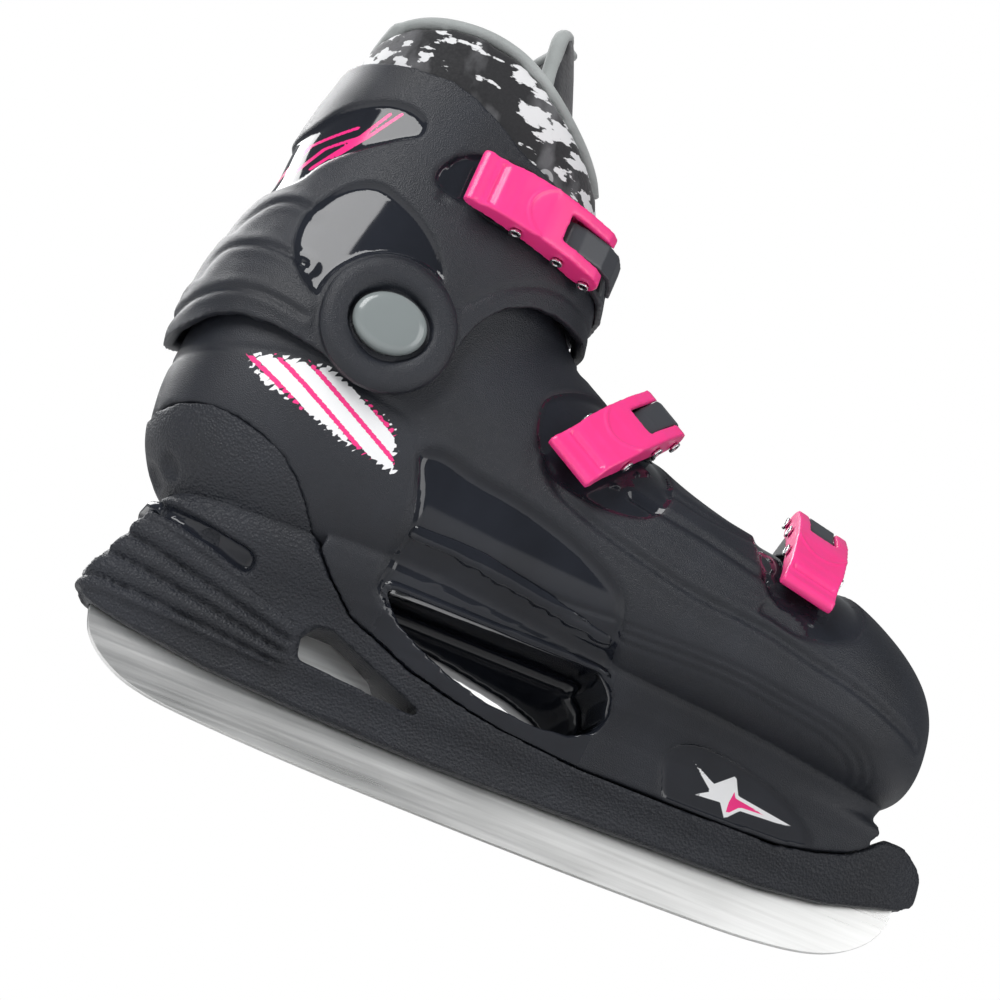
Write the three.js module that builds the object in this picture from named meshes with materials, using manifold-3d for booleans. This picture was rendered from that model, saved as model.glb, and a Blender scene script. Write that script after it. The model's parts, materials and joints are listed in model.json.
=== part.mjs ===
// Hard-shell ice skate for the right foot, in millimetres, +Z up.
// +X points to the toe and +Y to the inner side of the foot, so the outer side faces -Y.
// The origin is the middle of the blade's running edge, on the ice.
//
// Side-view points are [x, z]. Shape tables are drawn for a boot 291 mm long and 101 mm wide,
// and stretchX and stretchY fit them to the driving sizes below.

import * as THREE from 'three';
import { mergeVertices } from 'three/addons/utils/BufferGeometryUtils.js';
import Module from 'manifold-3d';

const wasm = await Module();
wasm.setup();

// ---------------------------------------------------------------- driving sizes

const bootLength = 291;
const bootWidth = 101;

const gap = 0.3; // between pieces that rest on each other
const shellWall = 4.5;
const cuffWall = 3.2;
const cuffRidge = 4; // how far the pivot ring stands out of the cuff
const linerWall = 4;
const linerGap = 0.8; // between the liner and the plastic round it
const collarWall = 5;
const tongueWall = 5;
const trimHeight = 3.2;
const insoleThickness = 3;
const heelLift = 5; // extra insole thickness at the heel

const bladeThickness = 3.4;
const runningFlat = 30; // length of the flat middle of the running edge
const boltRadius = 2.2;
const screwRadius = 2.3;
const boltHeadRadius = 4.5;

const pivotX = -91.5;
const pivotZ = 139;
const pivotRadius = 4;
const ringRadius = 23.5;
const capHalfLength = 12.8;
const capHalfHeight = 10.4;
const capGap = 1.8; // room round the cap inside the ring

const leverWidth = 20;
const cheekWall = 2.1;
const earWall = 1.4;
const pinRadius = 1.5;
const pinGap = 0.25;
const pinHeadRadius = 2.3;
const strapWidth = 11.6;
const strapLift = 0.5; // air between a strap and the plastic it crosses
const strapThickness = 2.4;
const plateThickness = 1.7; // the buckle base's plate on the plastic
const rivetHeadHeight = 1.3;
const pocketDepth = 1.4; // finger room under each lever's lip
const rivetRadius = 2;
const rivetHeadRadius = 4;

const stretchX = bootLength / 291;
const stretchY = bootWidth / 101;
const ringSteps = 22; // points round a section

// ---------------------------------------------------------------- solids

function toSolid(geometry) {
  const bare = geometry.index ? geometry.clone() : geometry;
  bare.deleteAttribute('normal');
  bare.deleteAttribute('uv');
  const merged = mergeVertices(bare, 1e-4);
  return new wasm.Manifold(
    new wasm.Mesh({
      numProp: 3,
      vertProperties: new Float32Array(merged.attributes.position.array),
      triVerts: new Uint32Array(merged.index.array),
    }),
  );
}

function toGeometry(solid) {
  const mesh = solid.getMesh();
  const geometry = new THREE.BufferGeometry();
  geometry.setAttribute('position', new THREE.BufferAttribute(mesh.vertProperties, 3));
  geometry.setIndex(new THREE.BufferAttribute(mesh.triVerts, 1));
  geometry.computeVertexNormals();
  return geometry;
}

const joined = (solids) => solids.reduce((sum, solid) => sum.add(solid));
const cutBy = (solid, cutters) => cutters.reduce((rest, cutter) => rest.subtract(cutter), solid);

// A closed skin through rings that have the same number of points, with a fan over each end.
function loft(rings) {
  const count = rings[0].length;
  const positions = rings.flat(2);
  const triangles = [];
  for (let ring = 0; ring + 1 < rings.length; ring += 1) {
    for (let k = 0; k < count; k += 1) {
      const a = ring * count + k;
      const b = ring * count + ((k + 1) % count);
      triangles.push(a, b, b + count, a, b + count, a + count);
    }
  }
  const ends = [
    [0, 1],
    [rings.length - 1, -1],
  ];
  for (const [ring, side] of ends) {
    const centre = positions.length / 3;
    for (let axis = 0; axis < 3; axis += 1) {
      positions.push(rings[ring].reduce((sum, point) => sum + point[axis], 0) / count);
    }
    for (let k = 0; k < count; k += 1) {
      const a = ring * count + k;
      const b = ring * count + ((k + 1) % count);
      triangles.push(...(side > 0 ? [centre, b, a] : [centre, a, b]));
    }
  }
  if (signedVolume(positions, triangles) < 0) triangles.reverse();
  const geometry = new THREE.BufferGeometry();
  geometry.setAttribute('position', new THREE.Float32BufferAttribute(positions, 3));
  geometry.setIndex(triangles);
  return toSolid(geometry);
}

function signedVolume(positions, triangles) {
  const corner = (index) => new THREE.Vector3().fromArray(positions, 3 * index);
  let volume = 0;
  for (let t = 0; t < triangles.length; t += 3) {
    const [a, b, c] = [0, 1, 2].map((k) => corner(triangles[t + k]));
    volume += a.dot(b.cross(c)) / 6;
  }
  return volume;
}

// One section: v runs from -1 at the lower end to 1 at the upper end, h from -1 to 1 across.
function sectionRing(lowerPower, upperPower, place) {
  const ring = [];
  for (let k = 0; k < ringSteps; k += 1) {
    const angle = (2 * Math.PI * k) / ringSteps;
    const up = Math.sin(angle);
    const across = Math.cos(angle);
    const power = up < 0 ? lowerPower : upperPower;
    const v = Math.sign(up) * Math.abs(up) ** (2 / power);
    const h = Math.sign(across) * Math.abs(across) ** (2 / power);
    ring.push(place(v, h));
  }
  return ring;
}

function shapeOf(points) {
  return new THREE.Shape(points.map(([x, z]) => new THREE.Vector2(x, z)));
}

// A side-view outline pushed through the skate from y = low to y = high.
function prism(points, low = -80, high = 80) {
  const geometry = new THREE.ExtrudeGeometry(shapeOf(points), { depth: high - low, bevelEnabled: false });
  geometry.rotateX(Math.PI / 2);
  geometry.translate(0, high, 0);
  return toSolid(geometry);
}

const stretched = (points) => points.map(([x, z]) => [x * stretchX, z]);

function box(low, high, matrix = new THREE.Matrix4()) {
  const size = high.map((value, axis) => value - low[axis]);
  const geometry = new THREE.BoxGeometry(...size);
  geometry.translate(...high.map((value, axis) => (value + low[axis]) / 2));
  return toSolid(geometry.applyMatrix4(matrix));
}

// A round piece from (radius, distance) pairs along an axis. The pairs start and end on the axis.
function turned(profile, place, steps = 16) {
  const points = profile.map(([radius, distance]) => new THREE.Vector2(radius, distance));
  const geometry = new THREE.LatheGeometry(points, steps);
  place(geometry);
  return toSolid(geometry);
}

const rod = (radius, low, high, place, steps) =>
  turned([[0, low], [radius, low], [radius, high], [0, high]], place, steps);

const alongY = (x, z) => (geometry) => geometry.translate(x, 0, z);
const alongZ = (x, y) => (geometry) => geometry.rotateX(Math.PI / 2).translate(x, y, 0);

// ---------------------------------------------------------------- boot surfaces

// Sections of the lower boot, from the toe tip back round the heel and up the leg. Each one is
// [bottom x, z, top x, z, half width, height of the widest point 0..1, lower and upper power].
const footSections = [
  [138.5, 71, 139.5, 90, 11, 0.45, 2.2, 2.2],
  [136, 63, 134.5, 100, 24, 0.45, 2.4, 2.2],
  [129, 59, 126, 109, 35, 0.44, 2.7, 2.1],
  [118, 58, 113, 117, 43, 0.43, 3, 2.1],
  [101, 59, 96, 124, 48.5, 0.42, 3.2, 2.1],
  [78, 60.5, 75, 128.5, 50.5, 0.42, 3.2, 2.1],
  [50, 61.5, 50, 132.5, 49.5, 0.42, 3.2, 2.1],
  [20, 62, 26, 139.5, 46.5, 0.43, 3.1, 2.1],
  [-10, 62, 7, 148.5, 43.5, 0.45, 3, 2.15],
  [-42, 62, -6, 156.5, 42, 0.46, 2.9, 2.2],
  [-76, 62, -15, 162, 41.5, 0.48, 2.8, 2.2],
  [-108, 62, -21, 167, 41.5, 0.5, 2.6, 2.2],
  [-133, 68, -25, 172, 41.5, 0.5, 2.4, 2.2],
  [-146, 84, -28, 178, 42, 0.5, 2.3, 2.2],
  [-149.5, 103, -30, 185, 42, 0.5, 2.3, 2.2],
  [-148, 122, -32, 192, 41.5, 0.5, 2.3, 2.2],
  [-145, 142, -34, 199, 40, 0.5, 2.3, 2.2],
  [-141, 162, -36, 206, 38, 0.5, 2.3, 2.2],
];

// The lower boot's surface, moved in by inset all over.
function footLoft(inset) {
  const tip = footSections[0][0] * stretchX;
  const rings = footSections.map(([bottomX, bottomZ, topX, topZ, half, widest, lower, upper]) => {
    const bottom = new THREE.Vector2(Math.min(bottomX * stretchX, tip - inset), bottomZ);
    const top = new THREE.Vector2(Math.min(topX * stretchX, tip + 1 - inset), topZ);
    const across = top.clone().sub(bottom).normalize();
    bottom.addScaledVector(across, inset);
    top.addScaledVector(across, -inset);
    const width = Math.max(half * stretchY - inset, 3);
    return sectionRing(lower, upper, (v, h) => {
      const share = v < 0 ? widest * (1 + v) : widest + (1 - widest) * v;
      const point = bottom.clone().lerp(top, share);
      return [point.x, width * h, point.y];
    });
  });
  return loft(rings);
}

// Level sections of the leg: [z, back x, front x, half width].
const legSections = [
  [106, -152, -10, 46],
  [122, -153.8, -12, 46.5],
  [139, -153.2, -14, 47],
  [155, -149.5, -16, 46],
  [170, -144.5, -18, 45],
  [186, -139, -19.5, 44],
  [202, -137, -22, 43],
  [218, -133.5, -26, 42.5],
  [232, -129.5, -31, 42],
  [246, -127.5, -38, 41.5],
  [262, -126, -43, 41],
  [282, -125, -50, 40],
];

function legLoft(inset) {
  const rings = legSections.map(([z, back, front, half]) => {
    const low = back * stretchX + inset;
    const high = front * stretchX - inset;
    const width = half * stretchY - inset;
    return sectionRing(2.4, 2.4, (v, h) => [(low + high) / 2 + (v * (high - low)) / 2, width * h, z]);
  });
  return loft(rings);
}

// Level sections of the frame under the boot: [z, back x, front x, half width].
const frameSections = [
  [10, -147, 146, 8.6],
  [17, -148, 149, 9],
  [24, -150.5, 152, 10.5],
  [30, -152, 154, 13.5],
  [37, -152, 154.5, 16],
  [45, -151, 153, 19],
  [49.5, -150, 148, 21.5],
  [54, -147, 131.5, 25],
  [61, -142, 133, 29.5],
  [69, -134, 132, 32],
  [76, -128, 130, 33],
  [82, -122, 128, 33.5],
];

function frameLoft(inset) {
  const rings = frameSections.map(([z, back, front, half]) => {
    const low = back * stretchX + inset;
    const high = front * stretchX - inset;
    return sectionRing(3.4, 3.4, (v, h) => [
      (low + high) / 2 + (v * (high - low)) / 2,
      (half * stretchY - inset) * h,
      z,
    ]);
  });
  return loft(rings);
}

const footOuter = footLoft(0);
const footInner = footLoft(shellWall);
const legOuter = legLoft(0);
const frameOuter = frameLoft(0);

// ---------------------------------------------------------------- side-view lines

// The holder's upper edge, where the shell sits on it, from the back of the heel to the toe.
const holderEdge = [
  [-160, 92], [-150, 93.5], [-142, 96.5], [-134, 96.8], [-125, 95], [-115, 91.5], [-107, 87.5], [-100, 82],
  [-93.5, 75], [-88, 68.5], [-83, 63], [-77, 57.5], [-66, 49.5], [-53, 45.3], [-41, 41], [-22, 37],
  [-5, 34.2], [25, 32], [60, 32.4], [97, 33.2], [112, 36], [123, 39.5], [129, 44],
];

const heelEdgePoints = 10; // of these, the ones round the heel cup

// The holder's lower edge, from the heel to the toe.
const holderBase = [
  [-146.5, 25], [-133.6, 22.4], [-104, 18.4], [-69, 16.6], [-24, 15.6], [25, 16.6], [78, 17.9],
  [100.6, 18.9], [123, 21.8], [148, 29],
];

const holderNose = [[151.5, 31.5], [153.8, 36], [152.5, 41], [149, 45], [144.5, 48], [139.5, 49.2], [134, 48.6]];
const heelBumper = [[-138, 63.5], [-139.6, 58], [-143.6, 48.5], [-148, 40], [-150.8, 33.5], [-150, 28.5]];
const heelBack = [[-149.2, 86], [-146.5, 76], [-142, 68.5]];

// The arch window between the heel column, the toe column, the rail and the sole.
const archWindow = [
  [-59, 61.8], [-57.5, 58.5], [-50, 52.6], [-39, 48], [-26, 43.6], [-11, 40.2], [5, 39.2], [16, 40.2],
  [24, 44], [26.5, 50], [24, 57], [18, 61.8],
];

// On the inner side the sole comes further down, and the window is lower.
const innerArchWindow = [
  [-56, 57.4], [-50, 52.6], [-39, 48], [-26, 43.6], [-11, 40.2], [5, 39.2], [13, 40.2], [15, 42.6],
  [13, 45.5], [9, 47.5], [0, 50.4], [-20, 53.8], [-40, 56.6], [-52, 58.2],
];
const innerSoleY = 12; // where the lower part of the sole begins

const heelWindow = [[-77, 31.5], [-78.5, 38], [-75, 42.6], [-70, 43.4], [-62, 40.5], [-31, 29.5], [-32, 28.2]];

const lowered = (points, drop) => points.map(([x, z]) => [x, z - drop]);

// ---------------------------------------------------------------- blade and holder

const bladeEdge = [
  [-146, 24], [-143.5, 17], [-138, 11.3], [-130, 6.8], [-121, 4.2], [-108, 2.6], [-80, 1.1], [-50, 0.3],
  [-runningFlat / 2 / stretchX, 0], [runningFlat / 2 / stretchX, 0], [50, 0.3], [86, 1.1], [105, 2.2],
  [122, 4.6], [134, 8.8], [143, 15.5], [147.5, 23.5], [148, 31],
];

// The blade's top line in the holder, with a tang at the heel and one at the toe.
const rearTangTop = 42.5;
const frontTangTop = 30;
const bladeTop = [
  [136, 30.5], [112, 26.5], [100, 24], [98, frontTangTop], [72, frontTangTop], [70, 24], [-28, 23], [-44, 27],
  [-50, 35], [-64, rearTangTop], [-94, rearTangTop], [-98, 26], [-140, 29.5], [-146, 30.5],
];

function blade() {
  const outline = stretched([...bladeEdge, ...bladeTop]);
  const steel = prism(outline, -bladeThickness / 2, bladeThickness / 2);
  return cutBy(steel, frameBolts.map((bolt) => boltSolid(bolt, gap)));
}

// The slot for the blade keeps the gap to its sides, its ends and its top line.
function bladeSlot() {
  const heel = bladeEdge[0][0] * stretchX - gap;
  const toe = bladeEdge.at(-1)[0] * stretchX + gap;
  const top = bladeTop.map(([x, z]) => [x * stretchX, z + gap]);
  const outline = [[heel, 0], [toe, 0], [toe, bladeEdge.at(-1)[1] + gap], ...top.slice(0, -1)];
  outline.push([heel, bladeTop.at(-1)[1] + gap]);
  return prism(outline, -bladeThickness / 2 - gap, bladeThickness / 2 + gap);
}

// Bolts and screws from the boot's floor down into the frame. The bolts end in the blade's tangs.
const frameBolts = [
  { name: 'blade_bolt_rear', x: -84, low: rearTangTop - 8, radius: boltRadius },
  { name: 'blade_bolt_front', x: 84, low: frontTangTop - 5, radius: boltRadius },
  { name: 'holder_screw_heel', x: -108, low: 48, radius: screwRadius },
  { name: 'holder_screw_toe', x: 108, low: 31, radius: screwRadius },
];
const boltHeadHeight = 1.6;

// Height of the sole's underside at a drawn x.
function soleHeight(x) {
  const next = footSections.findIndex((section) => section[0] <= x);
  const [x0, z0] = footSections[next - 1];
  const [x1, z1] = footSections[next];
  return z0 + ((z1 - z0) * (x - x0)) / (x1 - x0);
}

function boltSolid({ x, low, radius }, grow) {
  const seat = soleHeight(x) + shellWall - boltHeadHeight - 0.6;
  const shank = radius + grow;
  const head = boltHeadRadius + grow;
  const profile = [
    [0, low - grow], [shank, low - grow], [shank, seat - grow], [head, seat - grow],
    [head, seat + boltHeadHeight + grow], [0, seat + boltHeadHeight + grow],
  ];
  return turned(profile, alongZ(x * stretchX, 0), 12);
}

// A pocket that lightens the frame, open at the top or the bottom, with posts left for the screws.
function frameCore(low, high, posts) {
  const wall = 4;
  const room = box([low[0] * stretchX, -60, low[1]], [high[0] * stretchX, 60, high[1]]);
  const core = frameLoft(wall).intersect(room);
  const ribs = posts.map((x) => box([x * stretchX - 6, -60, 0], [x * stretchX + 6, 60, 100]));
  return cutBy(core, ribs);
}

const cupDepth = 1.6; // how far the heel cup is let into the shell
const cupRise = 1.2; // how far it stands out of it
const cupFront = -84;

function aheadOfCup() {
  return box([cupFront * stretchX, -80, 0], [200, 80, 100]);
}

function bladeHolder() {
  const outline = stretched([
    ...holderBase, ...holderNose, ...lowered(holderEdge, gap).reverse(), ...heelBack, ...heelBumper,
  ]);
  const body = frameOuter.add(footLoft(-cupRise)).intersect(prism(outline));
  return cutBy(body, [
    footLoft(cupDepth),
    footLoft(-gap).intersect(aheadOfCup()),
    frameCore([-142, 47], [-66, 90], [-108, -84]),
    prism(stretched(heelWindow)),
    bladeSlot(),
    ...frameBolts.map((bolt) => boltSolid(bolt, gap)),
  ]);
}

// ---------------------------------------------------------------- buckles

const pinPlaces = { lever: [4.5, 8], link: [18, 10.2], latch: [36, 9.6] }; // [along, height]

// Each buckle lies in its own frame: X from the strap end to the finger lip, Y across, Z outward.
// lip and end are on the lever's back for the drawn boot, and height is that of end above X.
const buckles = [
  {
    name: 'top', lip: [-76, -54, 198], end: [-26.5, -39, 191.5], across: [-0.1, -0.12, -0.99], height: 11.5,
    surface: legLoft, wall: cuffWall, hookDrop: 4, anchorX: -66,
  },
  {
    name: 'instep', lip: [-17, -50, 122.5], end: [12.5, -22, 155.5], across: [0.81, -0.2, -0.56], height: 10,
    surface: footLoft, wall: shellWall, hookDrop: 8, anchorZ: 120,
  },
  {
    name: 'toe', lip: [72, -50.5, 114], end: [79, -11, 143.5], across: [0.98, -0.03, -0.21], height: 11.5,
    surface: footLoft, wall: shellWall, hookDrop: 9.8, anchorZ: 105,
  },
];
const topBuckle = buckles[0];
const bootBuckles = buckles.slice(1);

function buckleFrame({ lip, end, across, height }) {
  const place = ([x, y, z]) => new THREE.Vector3(x * stretchX, y * stretchY, z);
  const along = place(lip).sub(place(end)).normalize();
  const side = new THREE.Vector3(...across);
  side.addScaledVector(along, -side.dot(along)).normalize();
  const outward = new THREE.Vector3().crossVectors(along, side);
  const origin = place(end).addScaledVector(outward, -height);
  return new THREE.Matrix4().makeBasis(along, side, outward).setPosition(origin);
}

// An [along, height] outline pushed across a buckle by half its width each way.
function across(points, halfWidth, holes = []) {
  const shape = shapeOf(points);
  for (const [along, height, radius] of holes) {
    shape.holes.push(new THREE.Path().absarc(along, height, radius, 0, 2 * Math.PI));
  }
  const geometry = new THREE.ExtrudeGeometry(shape, {
    depth: 2 * halfWidth, bevelEnabled: false, curveSegments: 5,
  });
  geometry.rotateX(Math.PI / 2);
  geometry.translate(0, halfWidth, 0);
  return geometry;
}

const leverSide = [
  [0.4, 6.2], [0.2, 10.2], [1.6, 12.9], [5, 14.8], [16, 16.2], [30, 16], [42, 13.9], [49, 11.4], [52.5, 9.8],
  [56, 9.4], [57.6, 7.6], [56.8, 5.2], [54, 4.4], [49, 4.6], [40, 6.2], [30, 7], [18, 6.6], [9, 5],
];
const leverHollow = [[-3, -4], [-3, 11.8], [18, 13.6], [30, 13.4], [41, 11.4], [48, 9], [48, -4]];
const windowEnd = 22;
const linkHalfWidth = 5.1;

// The link reaches over the lever pin and down to the strap, by drop more than for a flat boot.
const linkSide = (drop) => [
  [20.8, 9.4], [20.6, 11.4], [18.6, 13], [14, 14.2], [4, 14.4], [-2, 13.4 - 0.3 * drop],
  [-6.6, 10.2 - 0.75 * drop], [-9.6, 5.8 - drop], [-8, 5 - drop], [-5, 8.4 - 0.7 * drop],
  [-1.4, 11.2 - 0.3 * drop], [4, 12.1], [13, 12.1], [15.2, 10.6], [15.4, 8.8], [17, 7.6], [19.4, 7.7],
];

function pinHole([along, height]) {
  return [along, height, pinRadius + pinGap];
}

function leverGeometry() {
  const { lever, link, latch } = pinPlaces;
  const body = toSolid(across(leverSide, leverWidth / 2, [lever, link, latch].map(pinHole)));
  const hollow = toSolid(across(leverHollow, leverWidth / 2 - cheekWall));
  const slot = box([-5, -linkHalfWidth - gap, 3], [windowEnd, linkHalfWidth + gap, 20]);
  return toGeometry(cutBy(body, [hollow, slot]));
}

function linkGeometry({ hookDrop }) {
  return across(linkSide(hookDrop), linkHalfWidth, [pinHole(pinPlaces.link)]);
}

// Room for the link over the base.
function linkRoom(buckle) {
  const outline = lowered(linkSide(buckle.hookDrop), gap);
  return toSolid(across(outline, linkHalfWidth + gap).applyMatrix4(buckleFrame(buckle)));
}

// A pin across a lever with a round head outside each cheek.
function pinGeometry([along, height]) {
  const half = leverWidth / 2 + pinGap;
  const head = half + 1;
  const profile = [
    [0, -head], [pinHeadRadius, -head], [pinHeadRadius, -half], [pinRadius, -half],
    [pinRadius, half], [pinHeadRadius, half], [pinHeadRadius, head], [0, head],
  ];
  const points = profile.map(([radius, y]) => new THREE.Vector2(radius, y));
  const geometry = new THREE.LatheGeometry(points, 10);
  geometry.translate(along, 0, height);
  return mergeVertices(geometry.deleteAttribute('normal').deleteAttribute('uv'), 1e-4);
}

// A block in a buckle's own frame.
function buckleBlock(buckle, low, high) {
  return box(low, high, buckleFrame(buckle));
}

// A shallow pocket in the plastic under the lever's lip.
function fingerPocket(buckle) {
  const half = leverWidth / 2 + 2;
  const room = buckleBlock(buckle, [42, -half, -20], [63, half, 20]);
  return room.subtract(buckle.surface(pocketDepth));
}

// A flat-sided rivet through the plastic, headed at the given height above its surface.
function rivet(buckle, place, seat, grow) {
  const { surface, wall } = buckle;
  const shank = rod(rivetRadius + grow, 0, 80, place, 10);
  const head = rod(rivetHeadRadius + grow, 0, 80, place, 10);
  const cap = head.intersect(surface(-seat - rivetHeadHeight - grow)).subtract(surface(-seat - gap + grow));
  const stem = shank.intersect(surface(-seat - 1)).subtract(surface(wall - 0.2));
  return cap.add(stem);
}

// A strap follows the plastic from under the link over to the inner side.
const strapStart = 13; // where it begins, along the buckle
const strapPastAnchor = 8;

// Where the middle of the strap passes the anchor, as [x, z].
function anchorPlace(buckle) {
  const frame = buckleFrame(buckle);
  const side = new THREE.Vector3().setFromMatrixColumn(frame, 1);
  const origin = new THREE.Vector3().setFromMatrixPosition(frame);
  const innerY = 46 * stretchY - origin.y;
  if (buckle.anchorX !== undefined) {
    const x = buckle.anchorX * stretchX;
    return [x, origin.z - (side.x * (x - origin.x) + side.y * innerY) / side.z];
  }
  const z = buckle.anchorZ;
  return [origin.x - (side.z * (z - origin.z) + side.y * innerY) / side.x, z];
}

function strapReach(buckle, grow) {
  const [x, z] = anchorPlace(buckle);
  const past = strapPastAnchor + grow;
  if (buckle.anchorX !== undefined) return box([x - past, -90, 0], [300, 90, 300]);
  return box([-300, -90, z - past], [300, 90, 300]);
}

function strapBand(buckle, grow) {
  const { surface } = buckle;
  const band = surface(-strapLift - strapThickness - grow).subtract(surface(-strapLift + grow));
  const half = strapWidth / 2 + grow;
  const slab = buckleBlock(buckle, [-300, -half, -300], [300, half, 300]);
  const nearBuckle = buckleBlock(buckle, [-30, -20, -22], [70, 20, 22]);
  const beyond = buckleBlock(buckle, [strapStart + grow, -20, -22], [70, 20, 22]);
  const outerSide = box([-300, -90, 0], [300, -24 * stretchY, 300]).subtract(nearBuckle);
  return cutBy(band.intersect(slab).intersect(strapReach(buckle, grow)), [beyond, outerSide]);
}

const strapRivet = (buckle, grow) =>
  rivet(buckle, alongY(...anchorPlace(buckle)), strapLift + strapThickness + gap, grow);

const strap = (buckle) => strapBand(buckle, 0).subtract(strapRivet(buckle, gap));

// The base: a plate on the plastic with two ears for the lever pin.
const baseEar = [
  [0.4, 5.5], [1.2, 9.8], [3, 11.2], [6, 11.2], [9, 9.2], [12, 7.4], [17.6, 6.4], [17.6, -9], [0.4, -9],
];
const plateEnd = 31;
const baseHalfWidth = leverWidth / 2 - cheekWall - gap;
const baseRivetAlong = 25.5;

function baseRivet(buckle, grow) {
  const place = (geometry) =>
    geometry.rotateX(Math.PI / 2).translate(baseRivetAlong, 0, -9).applyMatrix4(buckleFrame(buckle));
  return rivet(buckle, place, plateThickness + gap, grow);
}

function buckleBase(buckle) {
  const frame = buckleFrame(buckle);
  const between = baseHalfWidth - earWall;
  const ears = toSolid(across(baseEar, baseHalfWidth, [pinHole(pinPlaces.lever)]).applyMatrix4(frame));
  const passage = buckleBlock(buckle, [-5, -between, -40], [40, between, 40]);
  const plateRoom = buckleBlock(buckle, [-0.6, -baseHalfWidth, -40], [plateEnd, baseHalfWidth, 40]);
  const plate = buckle.surface(-plateThickness).intersect(plateRoom);
  const body = ears.subtract(passage).add(plate);
  return cutBy(body, [
    buckle.surface(-gap), strapBand(buckle, gap), baseRivet(buckle, gap), linkRoom(buckle),
  ]);
}

// ---------------------------------------------------------------- ankle pivot

const ellipse = (halfLength, halfHeight, steps = 24) =>
  Array.from({ length: steps }, (_, k) => {
    const angle = (2 * Math.PI * k) / steps;
    return [pivotX * stretchX + halfLength * Math.cos(angle), pivotZ + halfHeight * Math.sin(angle)];
  });

const cuffSide = 47 * stretchY; // half width of the cuff at the pivot
const shellSide = 42 * stretchY; // half width of the shell at the pivot
const ringTop = cuffSide + cuffRidge - 1;
const capFloor = cuffSide - cuffWall + 2.4; // bottom of the oval recess, measured out from the middle

function mirrored(side, low, high) {
  return side < 0 ? [-high, -low] : [low, high];
}

function capRecess(side) {
  const [low, high] = mirrored(side, capFloor, 80);
  return prism(ellipse(capHalfLength + capGap, capHalfHeight + capGap), low, high);
}

function pivotCap(side) {
  const base = capFloor + gap;
  const height = ringTop + 1.4 - base;
  const profile = [[0, 0], [1, 0], [1, 0.42], [0.93, 0.68], [0.72, 0.88], [0.4, 0.97], [0, 1]];
  const points = profile.map(([radius, share]) => new THREE.Vector2(radius, share * height));
  const geometry = new THREE.LatheGeometry(points, 24);
  geometry.scale(capHalfLength, 1, capHalfHeight);
  geometry.translate(0, base, 0);
  if (side < 0) geometry.rotateZ(Math.PI);
  geometry.translate(pivotX * stretchX, 0, pivotZ);
  return toSolid(geometry).subtract(pivotRivet(side, gap));
}

// The rivet turns in the cuff, passes through the shell and is headed over inside it.
function pivotRivet(side, grow) {
  const inner = shellSide - shellWall;
  const flange = inner + 1.8;
  const head = capFloor + gap + 1.6;
  const profile = [
    [0, inner + 0.3 - grow], [8 + grow, inner + 0.3 - grow], [8 + grow, flange + grow],
    [pivotRadius + grow, flange + grow], [pivotRadius + grow, head + grow], [0, head + grow],
  ];
  return turned(profile, (geometry) => {
    if (side < 0) geometry.rotateZ(Math.PI);
    geometry.translate(pivotX * stretchX, 0, pivotZ);
  }, 20);
}

// ---------------------------------------------------------------- cuff

const cuffEdge = [
  [-165, 116], [-152, 120.5], [-147, 124], [-143, 126.4], [-136.5, 127.4], [-126, 126.4], [-115, 124],
  [-104, 121], [-80, 122], [-69, 132], [-66.5, 145], [-62.5, 154], [-56.5, 161.4], [-47, 166.8],
  [-38, 168.4], [-28, 168.2], [0, 167],
];
const cuffTop = [
  [0, 198], [-30, 204], [-46, 208.4], [-66, 214.6], [-79, 222.4], [-88, 227], [-97, 230], [-106, 230.8],
  [-122, 231.6], [-165, 233],
];

const forwardLean = 7; // how far the cuff leans forward, in degrees

// Where the cuff's front passes through the instep as it leans forward.
function cuffSweep() {
  const room = 0.5;
  const wall = legLoft(-room).subtract(legLoft(cuffWall + room));
  const front = prism(lowered(stretched([[-40, 167.5], [0, 166.5], [0, 198], [-40, 198]]), room), -34, 34);
  const blank = toGeometry(wall.intersect(front));
  return [0.2, 0.45, 0.7, 0.9, 1.03].map((share) => {
    const lean = blank.clone().translate(-pivotX * stretchX, 0, -pivotZ);
    lean.rotateY((share * forwardLean * Math.PI) / 180).translate(pivotX * stretchX, 0, pivotZ);
    return toSolid(lean);
  });
}

// The front slit between the cuff's two flaps, a little to the inner side.
const cuffSlit = [[-50, 100], [20, 100], [20, 260], [-50, 260]];

function cuff() {
  const wall = legOuter.subtract(legLoft(cuffWall));
  const ring = [-1, 1].map((side) => {
    const [low, high] = mirrored(side, cuffSide - cuffWall, ringTop);
    return prism(ellipse(ringRadius, ringRadius, 32), low, high);
  });
  const body = wall.intersect(prism(stretched([...cuffEdge, ...cuffTop])));
  return cutBy(joined([body, ...ring]), [
    capRecess(-1),
    capRecess(1),
    prism(stretched(cuffSlit), 2 * stretchY, 12 * stretchY),
    ...[-1, 1].map((side) => pivotRivet(side, gap)),
    fingerPocket(topBuckle),
    baseRivet(topBuckle, gap),
    strapRivet(topBuckle, gap),
  ]);
}

// ---------------------------------------------------------------- shell

const bootRim = [[-260, 130], [-150, 150], [-20, 176], [40, 188], [40, 320], [-260, 320]];
const throatSlit = [[-30, 100], [62, 100], [62, 180], [-30, 180]];

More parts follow.
